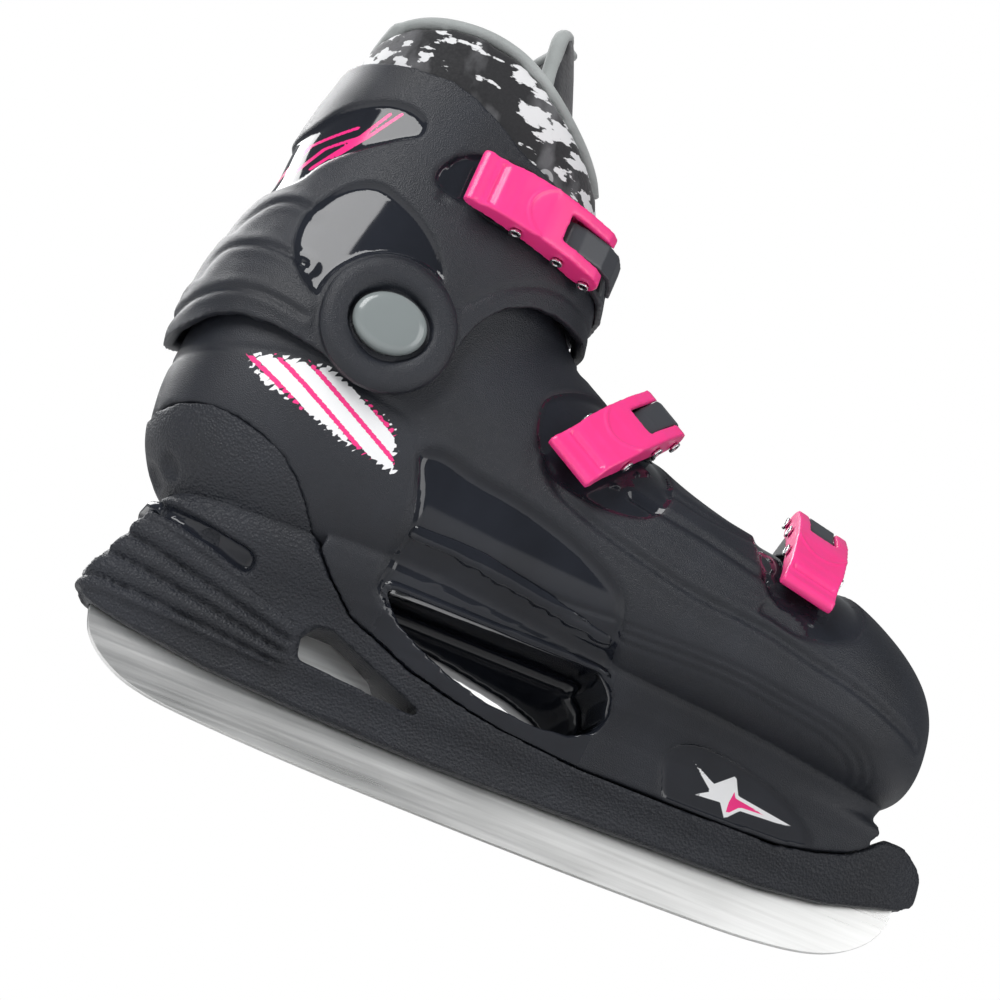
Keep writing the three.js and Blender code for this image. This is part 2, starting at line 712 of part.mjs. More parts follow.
function shell() {
  const web = frameOuter.intersect(aheadOfCup());
  const belowEdge = [
    ...holderEdge, [131, 54], [135, 59], [139, 65], [200, 66], [200, 0], [-200, 0], [-200, 92],
  ];
  const holderRoom = prism(stretched(belowEdge)).subtract(footLoft(cupDepth + gap));
  return cutBy(footOuter.add(web), [
    footInner,
    holderRoom,
    prism(stretched(archWindow), -80, innerSoleY * stretchY),
    prism(stretched(innerArchWindow), 0, 80),
    prism(stretched(bootRim)),
    prism(stretched(throatSlit), 9 * stretchY, 10.6 * stretchY),
    frameCore([36, 20], [118, 58], [84, 108]),
    ...cuffSweep(),
    ...frameBolts.map((bolt) => boltSolid(bolt, gap)),
    ...[-1, 1].map((side) => pivotRivet(side, gap)),
    ...bootBuckles.map(fingerPocket),
    ...bootBuckles.map((buckle) => baseRivet(buckle, gap)),
    ...bootBuckles.map((buckle) => strapRivet(buckle, gap)),
  ]);
}

// ---------------------------------------------------------------- liner

const collarRim = [
  [-20, 200], [-29, 210], [-35, 220], [-44, 228], [-56, 236.5], [-67, 243.5], [-78, 248.6], [-90, 251],
  [-104, 251], [-114, 249.4], [-121, 246], [-126, 240],
];
const collarBase = [[-170, 154.5], [-20, 186]];
const collarFront = [[-50, 100], [40, 100], [40, 270], [-50, 270]];
const collarSlot = [-13, 15];

const collarOuter = cuffWall + linerGap + 0.4;

function collarTube(outer, inner) {
  return legLoft(outer).subtract(legLoft(inner));
}

function linerCollar() {
  const outline = stretched([...collarBase, ...collarRim, [-170, 238]]);
  const slot = prism(stretched(collarFront), collarSlot[0] * stretchY, collarSlot[1] * stretchY);
  const tube = collarTube(collarOuter, collarOuter + collarWall);
  return tube.intersect(prism(outline)).subtract(slot);
}

// The binding sits on the collar's rim as a strip of even height.
function linerTrim() {
  const lower = [...collarRim, [-170, 238]].map(([x, z]) => [x, z + gap]);
  const upper = [...collarRim, [-170, 238]].map(([x, z]) => [x + 0.6, z + trimHeight]).reverse();
  const slot = prism(stretched(collarFront), collarSlot[0] * stretchY, collarSlot[1] * stretchY);
  const tube = collarTube(collarOuter - 0.4, collarOuter + collarWall + 0.5);
  return tube.intersect(prism(stretched([...lower, ...upper]))).subtract(slot);
}

const tongueSide = [
  [-66, 192], [-66, 264], [-65.5, 270], [-62.5, 274.5], [-57, 275], [-52, 272], [-40, 262], [-10, 258], [-10, 190],
];

function tongue() {
  const outer = collarOuter + collarWall + 1;
  const tube = legLoft(outer).subtract(legLoft(outer + tongueWall));
  return tube.intersect(prism(stretched(tongueSide)));
}

const linerInset = shellWall + linerGap;

function linerFoot() {
  const sock = footLoft(linerInset).subtract(footLoft(linerInset + linerWall));
  return sock.subtract(prism(stretched(bootRim)));
}

function insole() {
  const inset = linerInset + linerWall + 0.4;
  const floor = 60.5 + inset;
  const outline = [
    [-150, floor - 6], [122, floor - 6], [122, floor + insoleThickness + 0.5],
    [20, floor + insoleThickness + 1.5], [-60, floor + insoleThickness + 1.5 + heelLift],
    [-150, floor + insoleThickness + 1.5 + heelLift],
  ];
  return footLoft(inset).intersect(prism(stretched(outline)));
}

// ---------------------------------------------------------------- assembly

const looks = {
  plastic: { color: 0x23262d, roughness: 0.5, metalness: 0 },
  grained: { color: 0x1b1e23, roughness: 0.75, metalness: 0 },
  steel: { color: 0xc4c7c9, roughness: 0.3, metalness: 1 },
  pink: { color: 0xff5096, roughness: 0.4, metalness: 0 },
  grey: { color: 0x8a9090, roughness: 0.25, metalness: 0 },
  link: { color: 0x3c3f44, roughness: 0.5, metalness: 0 },
  chrome: { color: 0xd8d8d8, roughness: 0.15, metalness: 1 },
  fabric: { color: 0x26272a, roughness: 0.9, metalness: 0 },
  binding: { color: 0x969b9b, roughness: 0.8, metalness: 0 },
};

const materials = Object.fromEntries(
  Object.entries(looks).map(([name, look]) => [name, new THREE.MeshStandardMaterial(look)]),
);

const skate = new THREE.Group();

function addMesh(parent, name, geometry, material) {
  const mesh = new THREE.Mesh(geometry, materials[material]);
  mesh.name = name;
  parent.add(mesh);
}

const addSolid = (name, solid, material) => addMesh(skate, name, toGeometry(solid), material);

addSolid('blade', blade(), 'steel');
addSolid('blade_holder', bladeHolder(), 'grained');
for (const bolt of frameBolts) addSolid(bolt.name, boltSolid(bolt, 0), 'chrome');

addSolid('shell', shell(), 'plastic');
addSolid('liner_foot', linerFoot(), 'fabric');
addSolid('insole', insole(), 'fabric');

addSolid('cuff', cuff(), 'plastic');
addSolid('liner_collar', linerCollar(), 'fabric');
addSolid('liner_trim', linerTrim(), 'binding');
addSolid('tongue', tongue(), 'fabric');

const sides = [
  ['outer', -1],
  ['inner', 1],
];
for (const [name, side] of sides) {
  addSolid(`pivot_cap_${name}`, pivotCap(side), 'grey');
  addSolid(`pivot_rivet_${name}`, pivotRivet(side, 0), 'chrome');
}

for (const buckle of buckles) {
  const { name } = buckle;
  addSolid(`${name}_buckle_base`, buckleBase(buckle), 'plastic');
  addSolid(`${name}_base_rivet`, baseRivet(buckle, 0), 'chrome');
  addSolid(`${name}_strap`, strap(buckle), 'link');
  addSolid(`${name}_strap_rivet`, strapRivet(buckle, 0), 'chrome');
  const group = new THREE.Group();
  group.applyMatrix4(buckleFrame(buckle));
  addMesh(group, `${name}_lever`, leverGeometry(), 'pink');
  addMesh(group, `${name}_link`, linkGeometry(buckle), 'link');
  for (const [pin, place] of Object.entries(pinPlaces)) {
    addMesh(group, `${name}_${pin}_pin`, pinGeometry(place), 'chrome');
  }
  skate.add(group);
}

export default skate;
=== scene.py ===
"""Looks of the ice skate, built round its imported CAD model.

The tables are in millimetres in the row frame: +X toe, +Y inner side, +Z up, side-view points [x, z].
The moulded pieces start from the CAD solids. They are rebuilt with fine meshes, drawn onto the
smooth surfaces of the boot, and then get their recesses, ribs and grooves.
"""

import json
import math

import bpy
import numpy as np
from mathutils import Matrix, Vector

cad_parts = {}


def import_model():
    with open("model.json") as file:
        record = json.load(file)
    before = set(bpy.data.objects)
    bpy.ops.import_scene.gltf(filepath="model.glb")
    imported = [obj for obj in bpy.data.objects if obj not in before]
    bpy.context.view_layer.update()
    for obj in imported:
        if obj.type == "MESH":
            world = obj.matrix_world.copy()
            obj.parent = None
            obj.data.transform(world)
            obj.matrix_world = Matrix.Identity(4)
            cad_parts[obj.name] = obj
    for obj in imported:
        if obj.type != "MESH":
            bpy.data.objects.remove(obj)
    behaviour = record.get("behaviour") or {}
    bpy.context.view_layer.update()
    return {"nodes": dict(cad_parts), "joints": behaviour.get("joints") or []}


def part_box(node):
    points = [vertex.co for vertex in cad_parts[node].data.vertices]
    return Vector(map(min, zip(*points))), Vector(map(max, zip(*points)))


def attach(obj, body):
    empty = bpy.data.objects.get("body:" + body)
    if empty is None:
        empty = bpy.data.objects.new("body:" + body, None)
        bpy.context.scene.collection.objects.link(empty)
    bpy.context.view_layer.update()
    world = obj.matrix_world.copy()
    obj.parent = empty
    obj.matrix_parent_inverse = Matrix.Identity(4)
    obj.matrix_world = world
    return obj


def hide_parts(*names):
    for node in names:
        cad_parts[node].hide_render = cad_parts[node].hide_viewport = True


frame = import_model()

MM = 0.001
SCENE = bpy.context.scene

# ---------------------------------------------------------------- boot surfaces

# Sections of the lower boot: [bottom x, z, top x, z, half width, widest at, lower and upper power].
FOOT = np.array([
    [138.5, 71, 139.5, 90, 11, 0.45, 2.2, 2.2],
    [136, 63, 134.5, 100, 24, 0.45, 2.4, 2.2],
    [129, 59, 126, 109, 35, 0.44, 2.7, 2.1],
    [118, 58, 113, 117, 43, 0.43, 3, 2.1],
    [101, 59, 96, 124, 48.5, 0.42, 3.2, 2.1],
    [78, 60.5, 75, 128.5, 50.5, 0.42, 3.2, 2.1],
    [50, 61.5, 50, 132.5, 49.5, 0.42, 3.2, 2.1],
    [20, 62, 26, 139.5, 46.5, 0.43, 3.1, 2.1],
    [-10, 62, 7, 148.5, 43.5, 0.45, 3, 2.15],
    [-42, 62, -6, 156.5, 42, 0.46, 2.9, 2.2],
    [-76, 62, -15, 162, 41.5, 0.48, 2.8, 2.2],
    [-108, 62, -21, 167, 41.5, 0.5, 2.6, 2.2],
    [-133, 68, -25, 172, 41.5, 0.5, 2.4, 2.2],
    [-146, 84, -28, 178, 42, 0.5, 2.3, 2.2],
    [-149.5, 103, -30, 185, 42, 0.5, 2.3, 2.2],
    [-148, 122, -32, 192, 41.5, 0.5, 2.3, 2.2],
    [-145, 142, -34, 199, 40, 0.5, 2.3, 2.2],
    [-141, 162, -36, 206, 38, 0.5, 2.3, 2.2],
])

# Level sections: [z, back x, front x, half width].
LEG = np.array([
    [106, -152, -10, 46], [122, -153.8, -12, 46.5], [139, -153.2, -14, 47], [155, -149.5, -16, 46],
    [170, -144.5, -18, 45], [186, -139, -19.5, 44], [202, -137, -22, 43], [218, -133.5, -26, 42.5],
    [232, -129.5, -31, 42], [246, -127.5, -38, 41.5], [262, -126, -43, 41], [282, -125, -50, 40],
])
LEG_POWER = 2.4
UNDER = np.array([
    [10, -147, 146, 8.6], [17, -148, 149, 9], [24, -150.5, 152, 10.5], [30, -152, 154, 13.5],
    [37, -152, 154.5, 16], [45, -151, 153, 19], [49.5, -150, 148, 21.5], [54, -147, 131.5, 25],
    [61, -142, 133, 29.5], [69, -134, 132, 32], [76, -128, 130, 33], [82, -122, 128, 33.5],
])
UNDER_POWER = 3.4


def rows_at(table, place):
    """Rows of a table at fractional places, on a smooth curve through its rows."""
    last = len(table) - 1
    first = np.clip(np.floor(place).astype(int), 0, last - 1)
    t = (place - first)[:, None]
    a, b, c, d = (table[np.clip(first + k, 0, last)] for k in (-1, 0, 1, 2))
    return b + 0.5 * t * (c - a + t * (2 * a - 5 * b + 4 * c - d + t * (3 * (b - c) + d - a)))


def foot_target(points, inset):
    """The nearest places on the lower boot's surface, moved in by inset."""
    low = np.zeros(len(points))
    high = np.full(len(points), len(FOOT) - 1.0)
    flat = points[:, [0, 2]]
    for _ in range(20):
        middle = (low + high) / 2
        row = rows_at(FOOT, middle)
        line = row[:, 2:4] - row[:, 0:2]
        away = flat - row[:, 0:2]
        behind = line[:, 0] * away[:, 1] - line[:, 1] * away[:, 0] >= 0
        low = np.where(behind, middle, low)
        high = np.where(behind, high, middle)
    row = rows_at(FOOT, (low + high) / 2)
    line = row[:, 2:4] - row[:, 0:2]
    line /= np.linalg.norm(line, axis=1)[:, None]
    bottom = row[:, 0:2] + inset * line
    top = row[:, 2:4] - inset * line
    widest = row[:, 5]
    share = ((flat - bottom) * line).sum(1) / np.linalg.norm(top - bottom, axis=1)
    v = np.where(share < widest, share / widest - 1, (share - widest) / (1 - widest))
    h = points[:, 1] / (row[:, 4] - inset)
    power = np.where(share < widest, row[:, 6], row[:, 7])
    rho = (np.abs(v) ** power + np.abs(h) ** power) ** (1 / power)
    rho = np.maximum(rho, 0.05)
    centre = bottom + (top - bottom) * widest[:, None]
    on_line = bottom + (top - bottom) * share[:, None]
    flat_target = centre + (on_line - centre) / rho[:, None]
    return np.column_stack([flat_target[:, 0], points[:, 1] / rho, flat_target[:, 1]])


def level_target(table, power, points, inset):
    """The nearest places on a surface of level sections, moved in by inset."""
    place = np.interp(points[:, 2], table[:, 0], np.arange(len(table)))
    row = rows_at(table, place)
    middle = (row[:, 1] + row[:, 2]) / 2
    half = (row[:, 2] - row[:, 1]) / 2 - inset
    v = (points[:, 0] - middle) / half
    h = points[:, 1] / (row[:, 3] - inset)
    rho = np.maximum((np.abs(v) ** power + np.abs(h) ** power) ** (1 / power), 0.05)
    return np.column_stack([middle + (points[:, 0] - middle) / rho, points[:, 1] / rho, points[:, 2]])


def leg_target(points, inset):
    return level_target(LEG, LEG_POWER, points, inset)


def under_target(points, inset):
    return level_target(UNDER, UNDER_POWER, points, inset)


def eased(low, high, value):
    t = np.clip((value - low) / (high - low), 0, 1)
    return t * t * (3 - 2 * t)


def drawn_onto(points, target, inset):
    """Draws what lies close to a surface onto it, less the further away it is."""
    goal = target(points, inset)
    away = np.linalg.norm(goal - points, axis=1)
    return points + (goal - points) * (1 - eased(0.9, 2.2, away))[:, None]


# ---------------------------------------------------------------- drawing on surfaces


def to_line(points, line):
    """Distance in side view to an open line."""
    flat = points[:, [0, 2]]
    best = np.full(len(points), 1e9)
    for start, end in zip(line[:-1], line[1:]):
        a = np.array(start, float)
        ab = np.array(end, float) - a
        t = np.clip(((flat - a) @ ab) / (ab @ ab), 0, 1)
        best = np.minimum(best, np.linalg.norm(flat - a - t[:, None] * ab, axis=1))
    return best


def inside(points, outline):
    """Distance in side view to an outline's edge, positive inside it."""
    flat = points[:, [0, 2]]
    within = np.zeros(len(points), bool)
    closed = list(outline) + [outline[0]]
    for (ax, az), (bx, bz) in zip(closed[:-1], closed[1:]):
        if az == bz:
            continue
        crosses = (flat[:, 1] < az) != (flat[:, 1] < bz)
        at = ax + (flat[:, 1] - az) * (bx - ax) / (bz - az)
        within ^= crosses & (flat[:, 0] < at)
    return to_line(points, closed) * np.where(within, 1, -1)


def curved(line, steps=6):
    """A smooth curve through the points of a line."""
    line = np.array(line, float)
    place = np.linspace(0, len(line) - 1, steps * (len(line) - 1) + 1)
    return rows_at(line, place)


def ring_line(line, steps=6):
    """A smooth closed curve through the points of an outline."""
    line = list(line)
    loop = curved([line[-1]] + line + line[:2], steps)
    return loop[steps:-steps - 1]


# ---------------------------------------------------------------- meshes


def coords(mesh):
    flat = np.empty(len(mesh.vertices) * 3, np.float32)
    mesh.vertices.foreach_get("co", flat)
    return flat.reshape(-1, 3).astype(float) / MM


def set_coords(mesh, points):
    mesh.vertices.foreach_set("co", (points * MM).astype(np.float32).ravel())
    mesh.update()


def normals(mesh):
    flat = np.empty(len(mesh.vertices) * 3, np.float32)
    mesh.vertex_normals.foreach_get("vector", flat)
    return flat.reshape(-1, 3).astype(float)


def applied(piece):
    """Makes a piece's modifiers part of its mesh."""
    bpy.context.view_layer.update()
    shaped = piece.evaluated_get(bpy.context.evaluated_depsgraph_get())
    mesh = bpy.data.meshes.new_from_object(shaped)
    piece.modifiers.clear()
    piece.data = mesh
    return piece


def new_piece(name, mesh):
    piece = bpy.data.objects.new(name, mesh)
    SCENE.collection.objects.link(piece)
    return piece


def remeshed(name, node, voxel):
    """A copy of a CAD node as an even, fine mesh."""
    piece = new_piece(name, frame["nodes"][node].data.copy())
    piece.data.materials.clear()
    remesh = piece.modifiers.new("voxels", "REMESH")
    remesh.mode = "VOXEL"
    remesh.voxel_size = voxel * MM
    return applied(piece)


def relaxed(mesh, points, rounds, share=0.6):
    """Moves each point towards the middle of its neighbours."""
    ends = np.empty(len(mesh.edges) * 2, np.int32)
    mesh.edges.foreach_get("vertices", ends)
    a, b = ends.reshape(-1, 2).T
    count = np.bincount(a, minlength=len(points)) + np.bincount(b, minlength=len(points))
    for _ in range(rounds):
        total = np.column_stack([
            np.bincount(a, points[b, k], len(points)) + np.bincount(b, points[a, k], len(points))
            for k in range(3)
        ])
        points = points + share * (total / count[:, None] - points)
    return points


def write_attribute(mesh, name, values):
    attribute = mesh.attributes.new(name, "FLOAT", "POINT")
    attribute.data.foreach_set("value", values.astype(np.float32))


def finished(piece, node, body, material):
    """Puts a piece in place of its CAD node."""
    piece.data.materials.clear()
    piece.data.materials.append(material)
    piece.data.shade_smooth()
    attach(piece, body)
    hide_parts(*([node] if isinstance(node, str) else node))
    return piece


# ---------------------------------------------------------------- materials


class Shader:
    """A node material with a Principled shader, and short calls to add nodes to it."""

    def __init__(self, name, **values):
        self.material = bpy.data.materials.new(name)
        self.material.use_nodes = True
        self.nodes = self.material.node_tree.nodes
        self.links = self.material.node_tree.links
        self.principled = self.nodes["Principled BSDF"]
        for key, value in values.items():
            self.principled.inputs[key.replace("_", " ")].default_value = value
        self.place = self.nodes.new("ShaderNodeTexCoord").outputs["Object"]

    def put(self, socket, value):
        if isinstance(value, bpy.types.NodeSocket):
            self.links.new(value, socket)
        else:
            socket.default_value = value

    def to(self, key, value):
        self.put(self.principled.inputs[key], value)

    def maths(self, operation, a, b=0.0):
        node = self.nodes.new("ShaderNodeMath")
        node.operation = operation
        self.put(node.inputs[0], a)
        self.put(node.inputs[1], b)
        return node.outputs[0]

    def ramp(self, value, low, high, from_low=0.0, from_high=1.0):
        node = self.nodes.new("ShaderNodeMapRange")
        limits = {"From Min": from_low, "From Max": from_high, "To Min": low, "To Max": high}
        for key, number in limits.items():
            node.inputs[key].default_value = number
        self.put(node.inputs["Value"], value)
        return node.outputs["Result"]

    def attribute(self, name):
        node = self.nodes.new("ShaderNodeAttribute")
        node.attribute_name = name
        return node.outputs["Fac"]

    def over(self, name, edge=0.15):
        """1 where an attribute in millimetres is above 0, with a thin soft edge."""
        return self.ramp(self.attribute(name), 0, 1, -edge, edge)

    def noise(self, scale, detail=2.0, stretch=(1, 1, 1)):
        mapping = self.nodes.new("ShaderNodeMapping")
        mapping.inputs["Scale"].default_value = stretch
        self.put(mapping.inputs["Vector"], self.place)
        node = self.nodes.new("ShaderNodeTexNoise")
        node.inputs["Scale"].default_value = scale
        node.inputs["Detail"].default_value = detail
        self.put(node.inputs["Vector"], mapping.outputs[0])
        return node.outputs["Fac"]

    def cells(self, scale, feature="F1"):
        node = self.nodes.new("ShaderNodeTexVoronoi")
        node.feature = feature
        node.inputs["Scale"].default_value = scale
        self.put(node.inputs["Vector"], self.place)
        return node.outputs["Distance"]

    def mixed(self, share, a, b):
        node = self.nodes.new("ShaderNodeMix")
        node.data_type = "RGBA"
        self.put(node.inputs[0], share)
        for socket, colour in ((node.inputs[6], a), (node.inputs[7], b)):
            self.put(socket, colour if isinstance(colour, bpy.types.NodeSocket) else (*colour, 1))
        return node.outputs[2]

    def bump(self, height, depth, strength=1.0):
        """Fine relief of a depth in millimetres."""
        node = self.nodes.new("ShaderNodeBump")
        node.inputs["Distance"].default_value = depth * MM
        self.put(node.inputs["Strength"], strength)
        self.put(node.inputs["Height"], height)
        self.to("Normal", node.outputs[0])


BLACK = (0.0105, 0.012, 0.0165)
WHITE = (0.82, 0.82, 0.83)
PINK = (0.86, 0.028, 0.22)


def boot_plastic(name, grain_scale, grain_depth, matte):
    """Black plastic: grained, with gloss recesses and printed marks where the attributes say so."""
    shader = Shader(name, Specular_IOR_Level=0.42)
    gloss = shader.over("gloss")
    dull = shader.maths("SUBTRACT", 1.0, gloss)
    patches = shader.noise(40, 3)
    rough = shader.maths("MULTIPLY", dull, shader.ramp(patches, matte - 0.05, matte + 0.06))
    print_share = shader.maths("MAXIMUM", shader.over("white_print"), shader.over("pink_print"))
    rough = shader.maths("ADD", rough, 0.07)
    shader.to("Roughness", shader.maths("ADD", rough, shader.maths("MULTIPLY", print_share, 0.15)))
    body = shader.mixed(shader.ramp(patches, 0, 1, 0.3, 0.7), BLACK, tuple(1.5 * c for c in BLACK))
    worn = shader.mixed(shader.over("white_print", 0.08), body, WHITE)
    shader.to("Base Color", shader.mixed(shader.over("pink_print", 0.08), worn, PINK))
    pebbles = shader.cells(grain_scale)
    height = shader.maths("ADD", pebbles, shader.maths("MULTIPLY", shader.noise(grain_scale * 1.7, 3), 0.6))
    unprinted = shader.maths("SUBTRACT", 1.0, shader.maths("MULTIPLY", print_share, 0.7))
    shader.bump(height, grain_depth, shader.maths("MULTIPLY", dull, unprinted))
    return shader.material


def smooth_plastic(name, colour, rough, grain=0.02):
    shader = Shader(name, Base_Color=(*colour, 1), Specular_IOR_Level=0.5)
    shader.to("Roughness", shader.ramp(shader.noise(120, 3), rough - 0.05, rough + 0.08))
    shader.bump(shader.noise(1800, 2), grain)
    return shader.material


def pink_plastic():
    shader = Shader("lever_pink", Subsurface_Weight=0.12, Subsurface_Scale=0.002, Coat_Weight=0.15)
    patches = shader.noise(60, 2)
    shader.to("Base Color", shader.mixed(patches, (0.86, 0.03, 0.215), (0.93, 0.05, 0.28)))
    shader.to("Roughness", shader.ramp(shader.noise(300, 2), 0.3, 0.42))
    shader.bump(shader.noise(2200, 2), 0.02)
    return shader.material


def brushed_steel():
    """Steel brushed along the blade, with brighter patches."""
    shader = Shader("blade_steel", Metallic=1.0)
    brushing = shader.noise(900, 4, stretch=(0.02, 1, 1))
    wide = shader.noise(60, 2, stretch=(0.25, 1, 1))
    tone = shader.maths("ADD", shader.maths("MULTIPLY", brushing, 0.45), shader.maths("MULTIPLY", wide, 0.55))
    steel = shader.mixed(shader.ramp(tone, 0, 1, 0.3, 0.7), (0.60, 0.60, 0.585), (0.80, 0.80, 0.79))
    patches = shader.ramp(shader.noise(9, 1), 0, 0.35, 0.4, 0.7)
    shader.to("Base Color", shader.mixed(patches, steel, (0.86, 0.86, 0.85)))
    shader.to("Roughness", shader.ramp(tone, 0.24, 0.42, 0.3, 0.7))
    shader.to("Anisotropic", 0.55)
    shader.bump(brushing, 0.012)
    return shader.material


def chrome():
    shader = Shader("rivet_chrome", Metallic=1.0)
    # Painted shade: the chrome is painted near black inside the dimple of each pin end, standing in for the
    # shade in the hollow.
    shader.to("Base Color", shader.mixed(shader.over("dimple", 0.1), (0.78, 0.78, 0.79), (0.03, 0.03, 0.035)))
    shader.to("Roughness", shader.ramp(shader.noise(700, 3), 0.1, 0.28))
    shader.bump(shader.noise(2500, 2), 0.01)
    return shader.material


def woven(name, colour, light, scale=900, depth=0.12):
    """Plain woven cloth with a light sheen."""
    shader = Shader(name, Sheen_Weight=0.35, Sheen_Roughness=0.5, Specular_IOR_Level=0.25)
    threads = shader.cells(scale, "SMOOTH_F1")
    tone = shader.noise(50, 3)
    shader.to("Base Color", shader.mixed(shader.ramp(tone, 0, 1, 0.3, 0.7), colour, light))
    shader.to("Roughness", shader.ramp(threads, 0.75, 0.95))
    shader.bump(threads, depth)
    return shader.material


def printed_cloth():
    """Black liner cloth with a worn, abstract white and grey print and small rings."""
    shader = Shader("liner_print", Sheen_Weight=0.25, Sheen_Roughness=0.5, Specular_IOR_Level=0.3)
    strokes = shader.noise(150, 5, stretch=(0.45, 1, 1.5))
    flecks = shader.noise(420, 3)
    bold = shader.ramp(shader.maths("ADD", strokes, shader.maths("MULTIPLY", flecks, 0.12)), 0, 1, 0.60, 0.62)
    soft = shader.ramp(shader.noise(60, 4, stretch=(1, 1, 0.6)), 0, 1, 0.52, 0.64)
    rings = shader.maths("ABSOLUTE", shader.maths("SUBTRACT", shader.cells(62), 0.17))
    ring = shader.ramp(rings, 1, 0, 0.035, 0.05)
    ground = shader.mixed(shader.maths("MULTIPLY", soft, 0.45), (0.012, 0.012, 0.014), (0.20, 0.20, 0.21))
    with_rings = shader.mixed(shader.maths("MULTIPLY", ring, 0.55), ground, (0.55, 0.55, 0.56))
    shader.to("Base Color", shader.mixed(bold, with_rings, (0.66, 0.66, 0.67)))
    threads = shader.cells(1100, "SMOOTH_F1")
    shader.to("Roughness", shader.ramp(threads, 0.6, 0.85))
    shader.bump(threads, 0.1)
    return shader.material


MATTE = boot_plastic("shell_plastic", 2300, 0.12, 0.36)
PEBBLED = boot_plastic("holder_plastic", 1050, 0.42, 0.42)
PINK_PLASTIC = pink_plastic()
DARK = smooth_plastic("buckle_black", (0.012, 0.013, 0.016), 0.3)
STRAP = smooth_plastic("strap_grey", (0.045, 0.048, 0.055), 0.33)
CAP = smooth_plastic("cap_grey", (0.21, 0.235, 0.235), 0.14, 0.008)
STEEL = brushed_steel()
CHROME = chrome()
CLOTH = printed_cloth()
PLAIN_CLOTH = woven("liner_black", (0.012, 0.012, 0.014), (0.03, 0.03, 0.034))
BINDING = woven("binding_grey", (0.26, 0.275, 0.27), (0.36, 0.38, 0.375), 1400, 0.1)

# ---------------------------------------------------------------- moulded pieces

PIVOT = (-91.5, 139.0)
RING_RADIUS = 23.5
OUT = -1  # the buckles' side
OUTSIDE = -9.0  # a distance that counts as well outside every outline
EDGE_ROUNDS = 3
HOOP_FROM = 46.8  # the hoop round the pivot starts this far from the middle plane
HOOP_BASE = 46.6
HOOP_HEIGHT = 3.6
HOOP_RADIUS = 18.2
HOOP_HALF_WIDTH = 5.6


def moulded(name, node, voxel, surfaces):
    """A CAD moulding as a fine mesh, drawn onto its smooth surfaces, with its edges eased."""
    piece = remeshed(name, node, voxel)
    points = coords(piece.data)
    for target, inset in surfaces:
        points = drawn_onto(points, target, inset)
    points = relaxed(piece.data, points, EDGE_ROUNDS)
    for target, inset in surfaces:
        points = drawn_onto(points, target, inset)
    set_coords(piece.data, points)
    return piece, points


def skin_share(points, target, inset=0.0):
    """1 on a piece's outer skin, 0 away from it."""
    away = np.linalg.norm(target(points, inset) - points, axis=1)
    return 1 - eased(0.5, 1.6, away)


def sunk(depth, edge, distance):
    """A recess of a depth with an eased edge, from the distance inside its outline."""
    return -depth * eased(-edge / 2, edge / 2, distance)


def raised(height, width, distance):
    return height * np.exp(-((distance / width) ** 2))


def grooved(depth, width, distance):
    return -raised(depth, width, distance)


EGG = ring_line([
    (-125.5, 148), (-129, 163), (-124.8, 174.5), (-118, 182.5), (-109.7, 185.6), (-100, 182.4),
    (-90.6, 176.8), (-83.3, 169), (-77, 156), (-76, 146), (-92, 134), (-112, 138),
])
BACK_RECESS = ring_line([
    (-150, 177), (-135.4, 180.5), (-127.6, 190), (-111, 202), (-104, 206), (-101.7, 208.8),
    (-102.5, 213), (-108, 216), (-116.8, 216), (-127.8, 211), (-136.4, 203), (-150, 201),
])
LIP_RECESS = ring_line([
    (-91.7, 193), (-92.7, 198), (-88.8, 204), (-82.6, 208), (-75, 209.4), (-58, 209),
    (-56, 190), (-70.5, 188), (-76.4, 190), (-84, 190.4),
])
SCALES = [
    curved([(-147, 160), (-144.8, 164.6), (-139.4, 170.8), (-134.2, 172.3), (-128.3, 171)]),
    curved([(-152, 141), (-151, 145.6), (-148.3, 151), (-143.5, 153), (-135.5, 153.2), (-124, 150.3)]),
    curved([(-157, 124.6), (-151.4, 131.8), (-143, 135.4), (-133, 135.8), (-118, 132)]),
]
FLAP_LINE = curved([
    (-74, 150), (-68, 158), (-58, 168), (-46, 175), (-34, 177), (-22, 175), (-14, 173),
])
STROKE_HALF_WIDTH = 0.55
CHEVRONS = [
    [(-139.5, 183), (-133, 197), (-121.5, 205)],
    [(-136.5, 184), (-129, 195.5), (-118, 202.8)],
    [(-131, 187.5), (-121, 200), (-113.5, 212.5)],
    [(-126, 192), (-117.5, 202.5), (-110, 213.5)],
]


